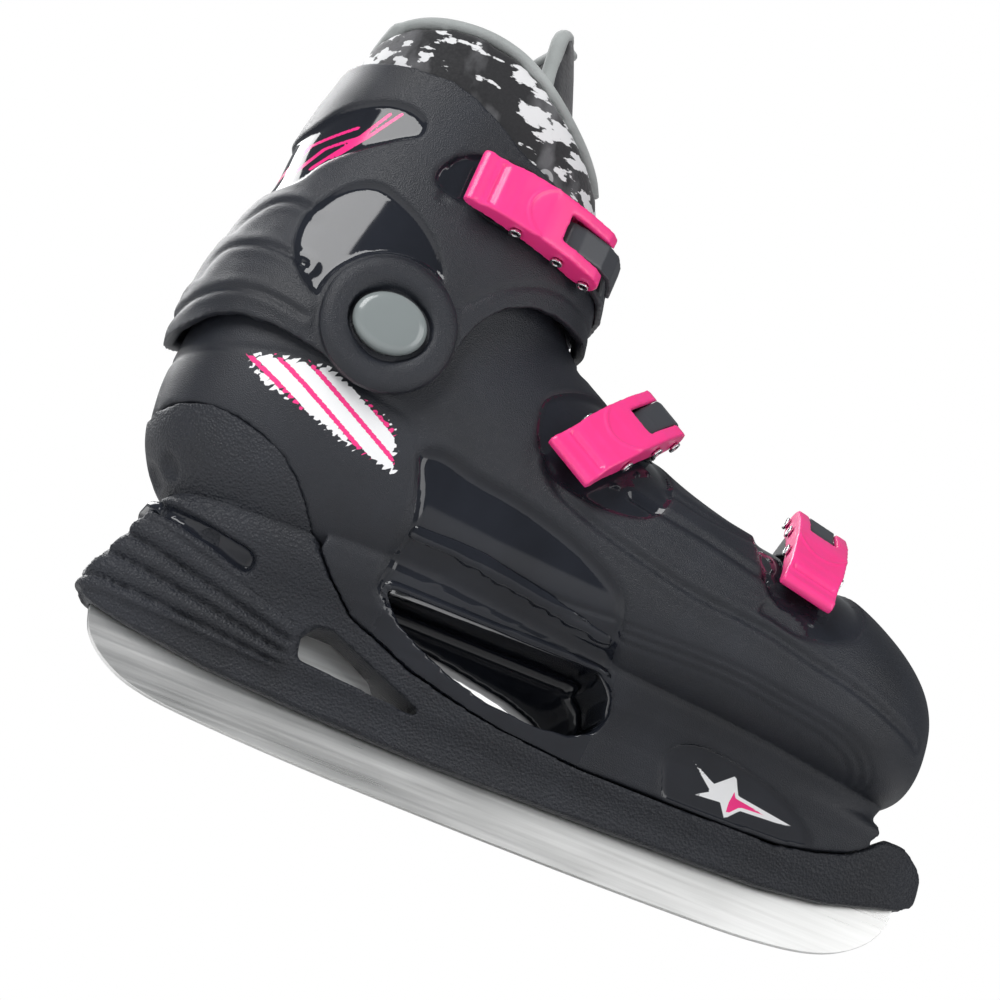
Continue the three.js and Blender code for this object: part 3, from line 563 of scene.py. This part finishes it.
def cuff():
    piece, points = moulded("cuff_moulding", "cuff", 1.0, [(leg_target, 0.0)])
    mesh = piece.data
    out = normals(mesh)
    skin = skin_share(points, leg_target)
    on_ring = np.hypot(points[:, 0] - PIVOT[0], points[:, 2] - PIVOT[1])
    off_ring = eased(RING_RADIUS + 0.4, RING_RADIUS + 3, on_ring)
    outer_side = points[:, 1] * OUT > 0
    egg = np.minimum(inside(points, EGG), on_ring - RING_RADIUS - 1.5)
    back = inside(points, BACK_RECESS)
    lip = np.where(outer_side, inside(points, LIP_RECESS), OUTSIDE)
    push = sunk(2.0, 2.4, egg) + sunk(1.6, 2.2, back) + sunk(1.5, 2.2, lip)
    for line in SCALES:
        away = to_line(points, line)
        push += grooved(0.9, 0.9, away) + raised(0.5, 2.2, away - 2.6)
    push += grooved(0.7, 1.0, to_line(points, FLAP_LINE)) * outer_side
    points = points + out * (push * skin * off_ring)[:, None]
    # The ring round the pivot is a thick rounded hoop.
    hoop = np.abs(points[:, 1]) > HOOP_FROM
    across = (on_ring - HOOP_RADIUS) / HOOP_HALF_WIDTH
    round_top = HOOP_BASE + HOOP_HEIGHT * np.sqrt(np.clip(1 - across ** 2, 0, 1))
    side = np.sign(points[:, 1])
    near = hoop & (on_ring < RING_RADIUS + 0.5)
    capped = np.minimum(np.abs(points[:, 1]), round_top)
    points[:, 1] = np.where(near, side * capped, points[:, 1])
    points = relaxed(mesh, points, 1, 0.4)
    set_coords(mesh, points)
    gloss = np.maximum(np.maximum(egg, back), lip)
    marks = np.min([to_line(points, line) for line in CHEVRONS], axis=0)
    write_attribute(mesh, "gloss", np.where(skin > 0.1, gloss + 0.3, OUTSIDE))
    strokes = np.minimum(STROKE_HALF_WIDTH - marks, back - 1.2)
    write_attribute(mesh, "pink_print", np.where(skin > 0.1, strokes, OUTSIDE))
    write_attribute(mesh, "white_print", np.full(len(points), OUTSIDE))
    return finished(piece, "cuff", "cuff", MATTE)


SIDE_RECESS = ring_line([
    (-60.5, 58), (-61.5, 68), (-60, 80), (-62, 92), (-65.5, 104), (-59, 107.5), (-45.5, 104.6),
    (-28.7, 102.2), (-10.6, 97.2), (2.7, 91.4), (12.2, 84.8), (16, 76), (18, 68), (20, 58), (0, 52),
    (-40, 52),
])
ANKLE_EDGE = curved([
    (-152, 113), (-140, 116), (-127.7, 118), (-111.2, 119.4), (-80.6, 115.8), (-70, 111.5), (-66.5, 104),
    (-63.5, 95.3), (-62.2, 79.5), (-63.4, 66.5),
])
SIDE_CREASE = curved([(-59, 79.3), (-30.6, 78.6), (-6, 75.6), (16.5, 76)])
GROOVES = [
    curved([(-24.7, 117.3), (-17.8, 110), (-6, 104.8), (6.3, 100.8), (21.8, 96.5), (37.4, 93), (60, 90.5),
            (79.4, 86.5), (98, 83.4), (114.3, 80), (127, 77.2)]),
    curved([(6.3, 119.3), (19, 117), (34.6, 114.2), (52.3, 109.6), (59, 108.6)]),
    curved([(20.7, 126.6), (35.7, 123.7), (53.3, 123.4)]),
]
SOLE_CREASE = curved([(18.3, 73.5), (54.5, 73), (76.7, 70.5), (96.5, 68), (108.5, 64.3), (116, 59.4)])
TOE_RECESS = ring_line([
    (54, 121), (57.6, 107), (62.4, 101.8), (70, 96.4), (80, 94.4), (86.5, 96.3), (92.7, 101), (96, 110),
    (95, 119), (90, 126), (82, 131), (66, 133), (57, 130),
])
INSTEP_RECESS = ring_line([
    (-31.8, 134.1), (-29.5, 142), (-18.8, 149.5), (-6, 152.5), (8, 148), (17, 140), (20, 130),
    (19.1, 122), (12.8, 113.2), (-3.2, 110.5), (-19.8, 113.5), (-29.2, 123),
])
PANEL = ring_line([
    (57.7, 31.5), (52, 39.5), (50.5, 44.3), (52, 49.3), (58, 52), (66, 52.2), (80, 50.5), (96, 46.3),
    (107, 40), (108, 35.6), (96, 33.4), (74, 32.6),
])
LABEL = [(-131, 115), (-120, 118), (-104, 119.4), (-77, 109), (-71.5, 94), (-92.6, 98.6), (-122.3, 107.5)]
STAR = [
    (60, 48), (70, 43.6), (76, 48.6), (79.5, 43), (104, 40.2), (82, 38.8), (78, 34.6), (74.5, 39), (65, 38.2),
    (70, 41),
]
BAR_PITCH = 7.0
STAR_CORE_FROM = 77  # the star is pink in its middle from here forward
ARCH = [
    (-59, 61.8), (-57.5, 58.5), (-50, 52.6), (-39, 48), (-26, 43.6), (-11, 40.2), (5, 39.2), (16, 40.2),
    (24, 44), (26.5, 50), (24, 57), (18, 61.8),
]


def shell_relief(points, side, toe, instep, panel):
    """Height of the shell's recesses and grooves, from the distances inside the recesses."""
    push = sunk(3.2, 5, side) + sunk(1.8, 2.6, toe) + sunk(1.8, 2.8, instep) + sunk(1.2, 1.4, panel)
    push += grooved(0.8, 1.0, to_line(points, ANKLE_EDGE))
    push += grooved(0.7, 0.9, to_line(points, SIDE_CREASE)) * eased(0, 4, side)
    for line in GROOVES:
        away = to_line(points, line)
        push += grooved(1.1, 1.3, away) + raised(0.5, 2, away - 3)
    away = to_line(points, SOLE_CREASE)
    push += grooved(0.8, 0.8, away) + grooved(0.6, 0.7, np.abs(away - 2.6))
    return push


def shell_prints(points):
    """Distances inside the white and pink prints: the barred label and the star."""
    label = np.where(np.abs(points[:, 1]) > 20, inside(points, LABEL), OUTSIDE)
    waves = np.sin(points[:, 0] * 1.9 + points[:, 2] * 0.7) * np.sin(points[:, 2] * 2.3)
    ragged = label + 1.6 * waves
    bars = np.sin((points[:, 0] * 0.55 + points[:, 2]) * 2 * math.pi / BAR_PITCH)
    star = inside(points, STAR)
    star_core = np.minimum(star - 1.1, 9 * (points[:, 0] - STAR_CORE_FROM))
    white = np.maximum(np.minimum(ragged, -bars * 2 + 1.2), star)
    pink = np.maximum(np.minimum(ragged - 0.4, bars * 2 - 1.2), star_core)
    return white, pink


def arch_lining(points):
    """Distance inside the glossy walls of the arch and the sole beside it."""
    arch = np.where(np.abs(points[:, 1]) < 26, inside(points, ARCH) + 1.2, OUTSIDE)
    along = (points[:, 0] > -58) & (points[:, 0] < 24)
    sole = (points[:, 2] < 63) & along & (np.abs(points[:, 1]) < 30)
    return np.maximum(arch, np.where(sole, 2.0, OUTSIDE))


def shell():
    surfaces = [(under_target, 0.0), (foot_target, 0.0)]
    piece, points = moulded("shell_moulding", "shell", 1.1, surfaces)
    mesh = piece.data
    out = normals(mesh)
    skin = np.maximum(skin_share(points, foot_target), skin_share(points, under_target))
    outer_side = points[:, 1] * OUT > 0
    side = inside(points, SIDE_RECESS)
    toe = np.where(outer_side, inside(points, TOE_RECESS), OUTSIDE)
    instep = np.where(outer_side, inside(points, INSTEP_RECESS), OUTSIDE)
    panel = np.where(np.abs(points[:, 1]) < 36, inside(points, PANEL), OUTSIDE)
    push = shell_relief(points, side, toe, instep, panel)
    points = points + out * (push * skin)[:, None]
    points = relaxed(mesh, points, 1, 0.4)
    set_coords(mesh, points)
    gloss = np.maximum.reduce([side + 0.5, toe + 0.5, instep + 0.5, panel + 0.2])
    lining = arch_lining(points)
    write_attribute(mesh, "gloss", np.maximum(np.where(skin > 0.05, gloss, OUTSIDE), lining))
    white, pink = shell_prints(points)
    write_attribute(mesh, "white_print", np.where(skin > 0.1, white, OUTSIDE))
    write_attribute(mesh, "pink_print", np.where(skin > 0.1, pink, OUTSIDE))
    return finished(piece, "shell", "boot", MATTE)


RIB_BACK = [(-152, 28), (-150.2, 33.5), (-147.3, 42.2), (-143.5, 50.2), (-139.6, 58)]
RIB_FRONT = [(-79, 25), (-80.5, 27.2), (-80.9, 31), (-81.8, 35), (-80.1, 40.5)]
RIB_SLOT = ring_line([
    (-141, 66), (-130.3, 62), (-117, 58.6), (-104, 55.4), (-104, 49.6), (-117, 52.6), (-130, 56.4),
    (-139.5, 60),
])


def ribs(points):
    """Height of the heel's scalloped ribs, which fan out to the back, and where they are."""
    back = np.array(RIB_BACK, float)
    front = np.array(RIB_FRONT, float)
    t = np.clip((points[:, 0] - front[:, 0].mean()) / (back[:, 0].mean() - front[:, 0].mean()), 0, 1)
    lines = front[:, 1][None, :] + t[:, None] * (back[:, 1] - front[:, 1])[None, :]
    height = np.zeros(len(points))
    for low, high in zip(lines.T[:-1], lines.T[1:]):
        across = np.clip((points[:, 2] - low) / (high - low), 0, 1)
        height = np.maximum(height, np.sqrt(np.clip(1 - (2 * across - 1) ** 2, 0, 1)))
    within = eased(-0.5, 1.5, np.minimum(points[:, 2] - lines[:, 0], lines[:, -1] - points[:, 2]))
    return height, within * eased(-80, -84, points[:, 0])


def blade_holder():
    surfaces = [(under_target, 0.0), (foot_target, -1.2)]
    piece, points = moulded("blade_holder_moulding", "blade_holder", 0.9, surfaces)
    mesh = piece.data
    out = normals(mesh)
    skin = np.maximum(skin_share(points, under_target), skin_share(points, foot_target, -1.2))
    height, where = ribs(points)
    slot = inside(points, RIB_SLOT)
    push = (3.2 * height - 2.2) * where + sunk(4.0, 1.4, slot)
    bumper = (points[:, 0] < -134) & (points[:, 2] > 26) & (points[:, 2] < 62)
    skin = np.where(bumper, 1.0, skin)
    points = points + out * (push * skin)[:, None]
    points = relaxed(mesh, points, 1, 0.4)
    set_coords(mesh, points)
    write_attribute(mesh, "gloss", np.where(skin > 0.05, slot, OUTSIDE))
    for name in ("white_print", "pink_print"):
        write_attribute(mesh, name, np.full(len(points), OUTSIDE))
    return finished(piece, "blade_holder", "boot", PEBBLED)


# ---------------------------------------------------------------- blade and caps

BLADE_EDGE = [
    (-146, 24), (-143.5, 17), (-138, 11.3), (-130, 6.8), (-121, 4.2), (-108, 2.6), (-80, 1.1), (-50, 0.3),
    (-15, 0), (15, 0), (50, 0.3), (86, 1.1), (105, 2.2), (122, 4.6), (134, 8.8), (143, 15.5), (147.5, 23.5),
    (148, 31),
]
BLADE_TOP = [
    (136, 30.5), (112, 26.5), (100, 24), (98, 30), (72, 30), (70, 24), (-28, 23), (-44, 27), (-50, 35),
    (-64, 42.5), (-94, 42.5), (-98, 26), (-140, 29.5), (-146, 30.5),
]
BLADE_HALF = 1.7
CHAMFER = 0.25


def blade():
    """The steel runner: flat sides with a fine chamfer along the running edge."""
    edge = curved(BLADE_EDGE, 8)
    outline = np.vstack([edge, np.array(BLADE_TOP, float)])
    count = len(outline)
    side = outline.copy()
    side[:len(edge), 1] += CHAMFER
    inward = BLADE_HALF - CHAMFER
    layers = [(side, -BLADE_HALF), (outline, -inward), (outline, inward), (side, BLADE_HALF)]
    points = np.vstack([np.column_stack([line[:, 0], np.full(count, y), line[:, 1]]) for line, y in layers])
    faces = [
        (layer * count + k, layer * count + (k + 1) % count,
         (layer + 1) * count + (k + 1) % count, (layer + 1) * count + k)
        for layer in range(len(layers) - 1)
        for k in range(count)
    ]
    faces.append(tuple(range(count)))
    faces.append(tuple(reversed(range(3 * count, 4 * count))))
    mesh = bpy.data.meshes.new("blade_runner")
    mesh.from_pydata((points * MM).tolist(), [], faces)
    piece = new_piece("blade_runner", mesh)
    finished(piece, "blade", "boot", STEEL)
    mesh.shade_flat()
    return piece


# The dome's outline, from its edge to its top: share of the radius, share of the height.
CAP_PROFILE = [
    (1.0, 0.0), (1.0, 0.45), (0.985, 0.62), (0.94, 0.77), (0.86, 0.88), (0.7, 0.95), (0.45, 0.985),
    (0.2, 1),
]


def pivot_cap(name, node, side):
    """The oval cap in the pivot ring, domed."""
    low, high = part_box(node)
    base, top = (high.y, low.y) if side < 0 else (low.y, high.y)
    steps = 96
    half_x, half_z = (high.x - low.x) / 2, (high.z - low.z) / 2
    centre = (low + high) / 2
    points, faces = [], []
    for radius, share in CAP_PROFILE:
        for k in range(steps):
            angle = 2 * math.pi * k / steps
            x = centre.x + radius * half_x * math.cos(angle)
            z = centre.z + radius * half_z * math.sin(angle)
            points.append((x, base + (top - base) * share, z))
    for ring in range(len(CAP_PROFILE) - 1):
        for k in range(steps):
            a, b = ring * steps + k, ring * steps + (k + 1) % steps
            faces.append((a, b, b + steps, a + steps) if side > 0 else (a + steps, b + steps, b, a))
    last = list(range((len(CAP_PROFILE) - 1) * steps, len(CAP_PROFILE) * steps))
    first = list(range(steps))
    faces.append(tuple(last) if side > 0 else tuple(reversed(last)))
    faces.append(tuple(reversed(first)) if side > 0 else tuple(first))
    mesh = bpy.data.meshes.new(name)
    mesh.from_pydata(points, [], faces)
    piece = new_piece(name, mesh)
    return finished(piece, node, "boot", CAP)


# ---------------------------------------------------------------- buckles

LEVER_HINGE_PLACE = (4.5, 8.0)  # along and height in the buckle's own frame
LINK_HINGE_PLACE = (18.0, 10.2)
PIN_HEAD_END = 11.25


def joint_named(name):
    return next(joint for joint in frame["joints"] if joint["name"] == name)


def buckle_frame(name):
    """Origin and the three directions (along, across, outward) of a buckle, from its two hinges."""
    lever = joint_named(f"{name}_lever_hinge")
    link = joint_named(f"{name}_link_hinge")
    across = -np.array(lever["axis"], float)
    across /= np.linalg.norm(across)
    between = np.array(link["pos_m"], float) - np.array(lever["pos_m"], float)
    between /= np.linalg.norm(between)
    tilt = math.atan2(LINK_HINGE_PLACE[1] - LEVER_HINGE_PLACE[1], LINK_HINGE_PLACE[0] - LEVER_HINGE_PLACE[0])
    square = np.cross(between, across)
    along = between * math.cos(tilt) - square * math.sin(tilt)
    outward = np.cross(along, across)
    origin = np.array(lever["pos_m"], float) / MM
    origin -= LEVER_HINGE_PLACE[0] * along + LEVER_HINGE_PLACE[1] * outward
    return origin, np.array([along, across, outward])


def softened(name, node, voxel, rounds, shape=None):
    """A small CAD piece as a fine mesh with rounded edges, and then a shape of its own."""
    piece = remeshed(name, node, voxel)
    points = relaxed(piece.data, coords(piece.data), rounds)
    if shape is not None:
        points = shape(piece.data, points)
    set_coords(piece.data, points)
    return piece


def lever_shape(buckle):
    origin, axes = buckle_frame(buckle)

    def shape(mesh, points):
        local = (points - origin) @ axes.T
        along, across, height = local.T
        set_coords(mesh, points)
        out = normals(mesh) @ axes.T
        facing = eased(0.25, 0.7, out[:, 2])
        groove = np.exp(-(((along - 49.6) / 0.9) ** 2)) * (1 - eased(7.5, 9, np.abs(across)))
        arc = np.abs(np.hypot(along - 22, across * 1.35) - 15.5)
        crest = np.exp(-((arc / 0.8) ** 2)) * eased(24, 28, along)
        dish = eased(26, 32, along) * (1 - eased(43, 47, along)) * (1 - (across / 10) ** 2)
        sunken = -1.0 * groove - 0.5 * np.clip(dish, 0, 1)
        waist = 1 - 0.045 * np.exp(-(((along - 47) / 5) ** 2))
        local[:, 1] = across * waist
        local[:, 2] = height + facing * (sunken + 0.45 * crest)
        return origin + local @ axes

    return shape


def pin_shape(buckle):
    origin, axes = buckle_frame(buckle)

    def shape(mesh, points):
        local = (points - origin) @ axes.T
        centre = local[:, [0, 2]].mean(0)
        radius = np.hypot(*(local[:, [0, 2]] - centre).T)
        end = np.abs(local[:, 1]) > PIN_HEAD_END - 0.6
        dimple = end * (1 - eased(0.7, 1.5, radius))
        local[:, 1] -= np.sign(local[:, 1]) * 0.7 * dimple
        # The dimple attribute marks where the chrome gets its painted shade, near black in the hollow end.
        write_attribute(mesh, "dimple", np.where(end, 1.15 - radius, OUTSIDE))
        return origin + local @ axes

    return shape


STRAP_PITCH = 3.0
# The two axes that each strap bends in, and the middle of its bend on them.
STRAP_CENTRES = {"top": (0, 1, -79.0, 0.0), "instep": (1, 2, 0.0, 96.0), "toe": (1, 2, 0.0, 92.0)}


def strap_shape(buckle):
    """Ladder teeth across the strap's outer face."""
    first, second, middle_a, middle_b = STRAP_CENTRES[buckle]
    origin, axes = buckle_frame(buckle)

    def shape(mesh, points):
        set_coords(mesh, points)
        out = normals(mesh)
        a = points[:, first] - middle_a
        b = points[:, second] - middle_b
        radius = np.hypot(a, b)
        outward = (out[:, first] * a + out[:, second] * b) / radius
        travel = np.arctan2(a, b) * np.median(radius)
        tooth = (travel / STRAP_PITCH) % 1.0
        across = np.abs((points - origin) @ axes[1])
        middle = 1 - eased(3.6, 4.4, across)
        return points - out * (0.8 * eased(0.15, 0.6, tooth) * middle * eased(0.3, 0.8, outward))[:, None]

    return shape


def buckle(name, body):
    lever_body, link_body = f"{name}_lever", f"{name}_link"
    lever = softened(f"{name}_lever_moulding", f"{name}_lever", 0.5, 5, lever_shape(name))
    finished(lever, f"{name}_lever", lever_body, PINK_PLASTIC)
    link = softened(f"{name}_link_bail", f"{name}_link", 0.4, 4)
    finished(link, f"{name}_link", link_body, STRAP)
    base = softened(f"{name}_buckle_bracket", f"{name}_buckle_base", 0.35, 2)
    finished(base, f"{name}_buckle_base", body, DARK)
    strap = softened(f"{name}_ladder_strap", f"{name}_strap", 0.45, 3, strap_shape(name))
    finished(strap, f"{name}_strap", body, STRAP)
    for pin, pin_body in (("lever", body), ("link", lever_body), ("latch", lever_body)):
        node = f"{name}_{pin}_pin"
        piece = softened(f"{node}_rivet", node, 0.22, 3, pin_shape(name))
        finished(piece, node, pin_body, CHROME)
    for rivet in ("base_rivet", "strap_rivet"):
        node = f"{name}_{rivet}"
        piece = softened(f"{node}_head", node, 0.35, 4)
        write_attribute(piece.data, "dimple", np.full(len(piece.data.vertices), OUTSIDE))
        finished(piece, node, body, CHROME)


# ---------------------------------------------------------------- liner

COLLAR_INSET = 4.4  # the collar's outer face, in from the leg surface
COLLAR_WALL = 5.0
CLOTH_FRAMES = 20
TONGUE_INSET = 12.9  # the middle of the tongue's wall, in from the leg surface
COLLAR_RIM = [
    (-29, 210), (-35, 220), (-44, 228), (-56, 236.5), (-67, 243.5), (-78, 248.6), (-90, 251), (-104, 251),
    (-114, 249.4), (-121, 246), (-126, 240),
]


def puffed(piece, pressure, most):
    """Swells a padded piece by cloth pressure, by no more than most millimetres."""
    rest = coords(piece.data)
    cloth = piece.modifiers.new("pressure", "CLOTH")
    settings = cloth.settings
    settings.use_pressure = True
    settings.uniform_pressure_force = pressure
    settings.effector_weights.gravity = 0
    cloth.point_cache.frame_end = CLOTH_FRAMES
    for number in range(1, CLOTH_FRAMES + 1):
        SCENE.frame_set(number)
    shaped = piece.evaluated_get(bpy.context.evaluated_depsgraph_get())
    moved = coords(shaped.to_mesh()) - rest
    shaped.to_mesh_clear()
    piece.modifiers.remove(cloth)
    SCENE.frame_set(1)
    length = np.maximum(np.linalg.norm(moved, axis=1), 1e-6)
    set_coords(piece.data, rest + moved * np.minimum(1, most / length)[:, None])


def subdivided(piece):
    piece.modifiers.new("fine", "SUBSURF").levels = 1
    return applied(piece)


def padded_piece(name, node, body, voxel, rounds, pressure, most, material, target=None, inset=0.0):
    piece = remeshed(name, node, voxel)
    points = coords(piece.data)
    if target is not None:
        points = drawn_onto(points, target, inset)
    set_coords(piece.data, relaxed(piece.data, points, rounds))
    puffed(piece, pressure, most)
    subdivided(piece)
    finished(piece, node, body, material)
    return piece


def tube(name, path, radii, steps=12):
    """A closed-ended cord of oval section along a path; radii are [across, up]."""
    path = np.array(path, float)
    ahead = np.gradient(path, axis=0)
    ahead /= np.linalg.norm(ahead, axis=1)[:, None]
    up = np.array([0, 0, 1.0]) - ahead * ahead[:, 2:3]
    up /= np.linalg.norm(up, axis=1)[:, None]
    across = np.cross(ahead, up)
    angles = 2 * math.pi * np.arange(steps) / steps
    rings = [
        path + across * radii[0] * math.cos(angle) + up * radii[1] * math.sin(angle) for angle in angles
    ]
    points = np.stack(rings, 1).reshape(-1, 3)
    faces = []
    for ring in range(len(path) - 1):
        for k in range(steps):
            a, b = ring * steps + k, ring * steps + (k + 1) % steps
            faces.append((a, a + steps, b + steps, b))
    faces.append(tuple(range(steps)))
    faces.append(tuple(reversed(range((len(path) - 1) * steps, len(path) * steps))))
    mesh = bpy.data.meshes.new(name)
    mesh.from_pydata((points * MM).tolist(), [], faces)
    return new_piece(name, mesh)


def half_breadth(line, inset):
    """Half the leg's breadth at side-view points, moved in by inset."""
    place = np.interp(line[:, 1], LEG[:, 0], np.arange(len(LEG)))
    row = rows_at(LEG, place)
    middle = (row[:, 1] + row[:, 2]) / 2
    v = np.clip((line[:, 0] - middle) / ((row[:, 2] - row[:, 1]) / 2 - inset), -1, 1)
    return (row[:, 3] - inset) * (1 - np.abs(v) ** LEG_POWER) ** (1 / LEG_POWER)


def rim_path():
    """The collar's rim from the outer front round the back to the inner front."""
    line = curved(COLLAR_RIM, 10)
    y = half_breadth(line, COLLAR_INSET + COLLAR_WALL / 2)
    outer = np.column_stack([line[:, 0], -y, line[:, 1] + 1.6])
    kept = outer[np.abs(outer[:, 1]) > 13]
    inner = kept[::-1] * np.array([1, -1, 1])
    return curved(np.vstack([kept[::3], inner[::3]]), 3)


def tongue_edge():
    """The tongue's free edge, up one side, over the top and down the other."""
    line = curved([(-65.5, 225), (-65.5, 245), (-65.5, 262), (-65, 269), (-62.5, 273), (-58.5, 274)], 3)
    y = half_breadth(line, TONGUE_INSET)
    outer = np.column_stack([line[:, 0], -y, line[:, 1]])
    inner = outer[::-1] * np.array([1, -1, 1])
    return curved(np.vstack([outer[:-1], [[-56.8, 0, 274]], inner[1:]]), 3)


def bindings():
    rim = tube("collar_binding", rim_path(), (3.2, 2.1), 14)
    finished(rim, "liner_trim", "cuff", BINDING)
    edge = tube("tongue_binding", tongue_edge(), (2.9, 2.4), 12)
    finished(edge, "tongue", "cuff", BINDING)


# ---------------------------------------------------------------- build

blade()
blade_holder()
shell()
cuff()
pivot_cap("pivot_cap_outer_dome", "pivot_cap_outer", -1)
pivot_cap("pivot_cap_inner_dome", "pivot_cap_inner", 1)
buckle("top", "cuff")
buckle("instep", "boot")
buckle("toe", "boot")
padded_piece("collar_padding", "liner_collar", "cuff", 2.2, 2, 1.5, 0.8, CLOTH, leg_target, COLLAR_INSET)
padded_piece("tongue_padding", "tongue", "cuff", 2.2, 3, 2.0, 1.0, PLAIN_CLOTH)
padded_piece("liner_padding", "liner_foot", "boot", 2.2, 4, 1.0, 0.4, PLAIN_CLOTH)
padded_piece("insole_padding", "insole", "boot", 1.6, 3, 1.0, 0.3, PLAIN_CLOTH)
bindings()
for node in frame["nodes"].values():
    if not node.hide_render:
        node.data.materials.clear()
        node.data.materials.append(CHROME)

# ---------------------------------------------------------------- stage

FLOOR_HALF = 3.0
FLOOR_DROP = 0.0005


def floor():
    """A pale floor that is seen only from above, because the camera looks up from below it."""
    mesh = bpy.data.meshes.new("floor")
    turns = [(-1, -1), (1, -1), (1, 1), (-1, 1)]
    corners = [(x * FLOOR_HALF, y * FLOOR_HALF, -FLOOR_DROP) for x, y in turns]
    mesh.from_pydata(corners, [], [(0, 1, 2, 3)])
    shader = Shader("floor_pale", Base_Color=(0.86, 0.86, 0.86, 1), Roughness=0.6)
    facing = shader.nodes.new("ShaderNodeNewGeometry").outputs["Backfacing"]
    clear = shader.nodes.new("ShaderNodeBsdfTransparent")
    mix = shader.nodes.new("ShaderNodeMixShader")
    shader.links.new(facing, mix.inputs[0])
    shader.links.new(shader.principled.outputs[0], mix.inputs[1])
    shader.links.new(clear.outputs[0], mix.inputs[2])
    shader.links.new(mix.outputs[0], shader.nodes["Material Output"].inputs["Surface"])
    mesh.materials.append(shader.material)
    new_piece("floor", mesh)


SKY_LIGHT = 0.22


def world():
    """White where the camera sees it, dimmer as a light."""
    sky = bpy.data.worlds.new("studio")
    sky.use_nodes = True
    nodes, links = sky.node_tree.nodes, sky.node_tree.links
    seen = nodes.new("ShaderNodeBackground")
    seen.inputs["Strength"].default_value = 1.0
    seen.inputs["Color"].default_value = (1, 1, 1, 1)
    light = nodes["Background"]
    light.inputs["Color"].default_value = (0.93, 0.96, 1, 1)
    light.inputs["Strength"].default_value = SKY_LIGHT
    mix = nodes.new("ShaderNodeMixShader")
    links.new(nodes.new("ShaderNodeLightPath").outputs["Is Camera Ray"], mix.inputs[0])
    links.new(light.outputs[0], mix.inputs[1])
    links.new(seen.outputs[0], mix.inputs[2])
    links.new(mix.outputs[0], nodes["World Output"].inputs["Surface"])
    SCENE.world = sky


def softbox(name, place, aim, size, power):
    light = bpy.data.lights.new(name, "AREA")
    light.shape = "RECTANGLE"
    light.size, light.size_y = size
    light.energy = power
    lamp = bpy.data.objects.new(name, light)
    SCENE.collection.objects.link(lamp)
    lamp.location = place
    lamp.rotation_euler = (Vector(aim) - Vector(place)).to_track_quat("-Z", "Y").to_euler()


SENSOR_WIDTH = 36
FOCAL_LENGTH = 136.44
CAMERA_PLACE = Vector((-0.26375, -1.21321, -0.26534))
CAMERA_TURN, CAMERA_RISE, CAMERA_ROLL = (math.radians(angle) for angle in (-11.0, -17.0, 19.2))


def camera():
    lens = bpy.data.cameras.new("camera")
    lens.sensor_width = SENSOR_WIDTH
    lens.lens = FOCAL_LENGTH
    view = bpy.data.objects.new("camera", lens)
    SCENE.collection.objects.link(view)
    back = Vector((
        math.sin(CAMERA_TURN) * math.cos(CAMERA_RISE),
        -math.cos(CAMERA_TURN) * math.cos(CAMERA_RISE),
        math.sin(CAMERA_RISE),
    ))
    right = Vector((math.cos(CAMERA_TURN), math.sin(CAMERA_TURN), 0))
    up = right.cross(-back)
    rolled_right = right * math.cos(CAMERA_ROLL) + up * math.sin(CAMERA_ROLL)
    rolled_up = up * math.cos(CAMERA_ROLL) - right * math.sin(CAMERA_ROLL)
    turned = Matrix((rolled_right, rolled_up, back)).transposed().to_4x4()
    view.matrix_world = Matrix.Translation(CAMERA_PLACE) @ turned
    SCENE.camera = view


SCENE.view_settings.view_transform = "Standard"
floor()
world()
softbox("key", (-0.9, -1.0, 1.1), (0, 0, 0.12), (0.9, 0.9), 22)
softbox("fill", (1.0, -1.1, 0.35), (0.05, 0, 0.1), (0.8, 1.2), 10)
softbox("rim", (-0.7, 0.9, 0.9), (0, 0, 0.15), (0.8, 0.8), 14)
camera()
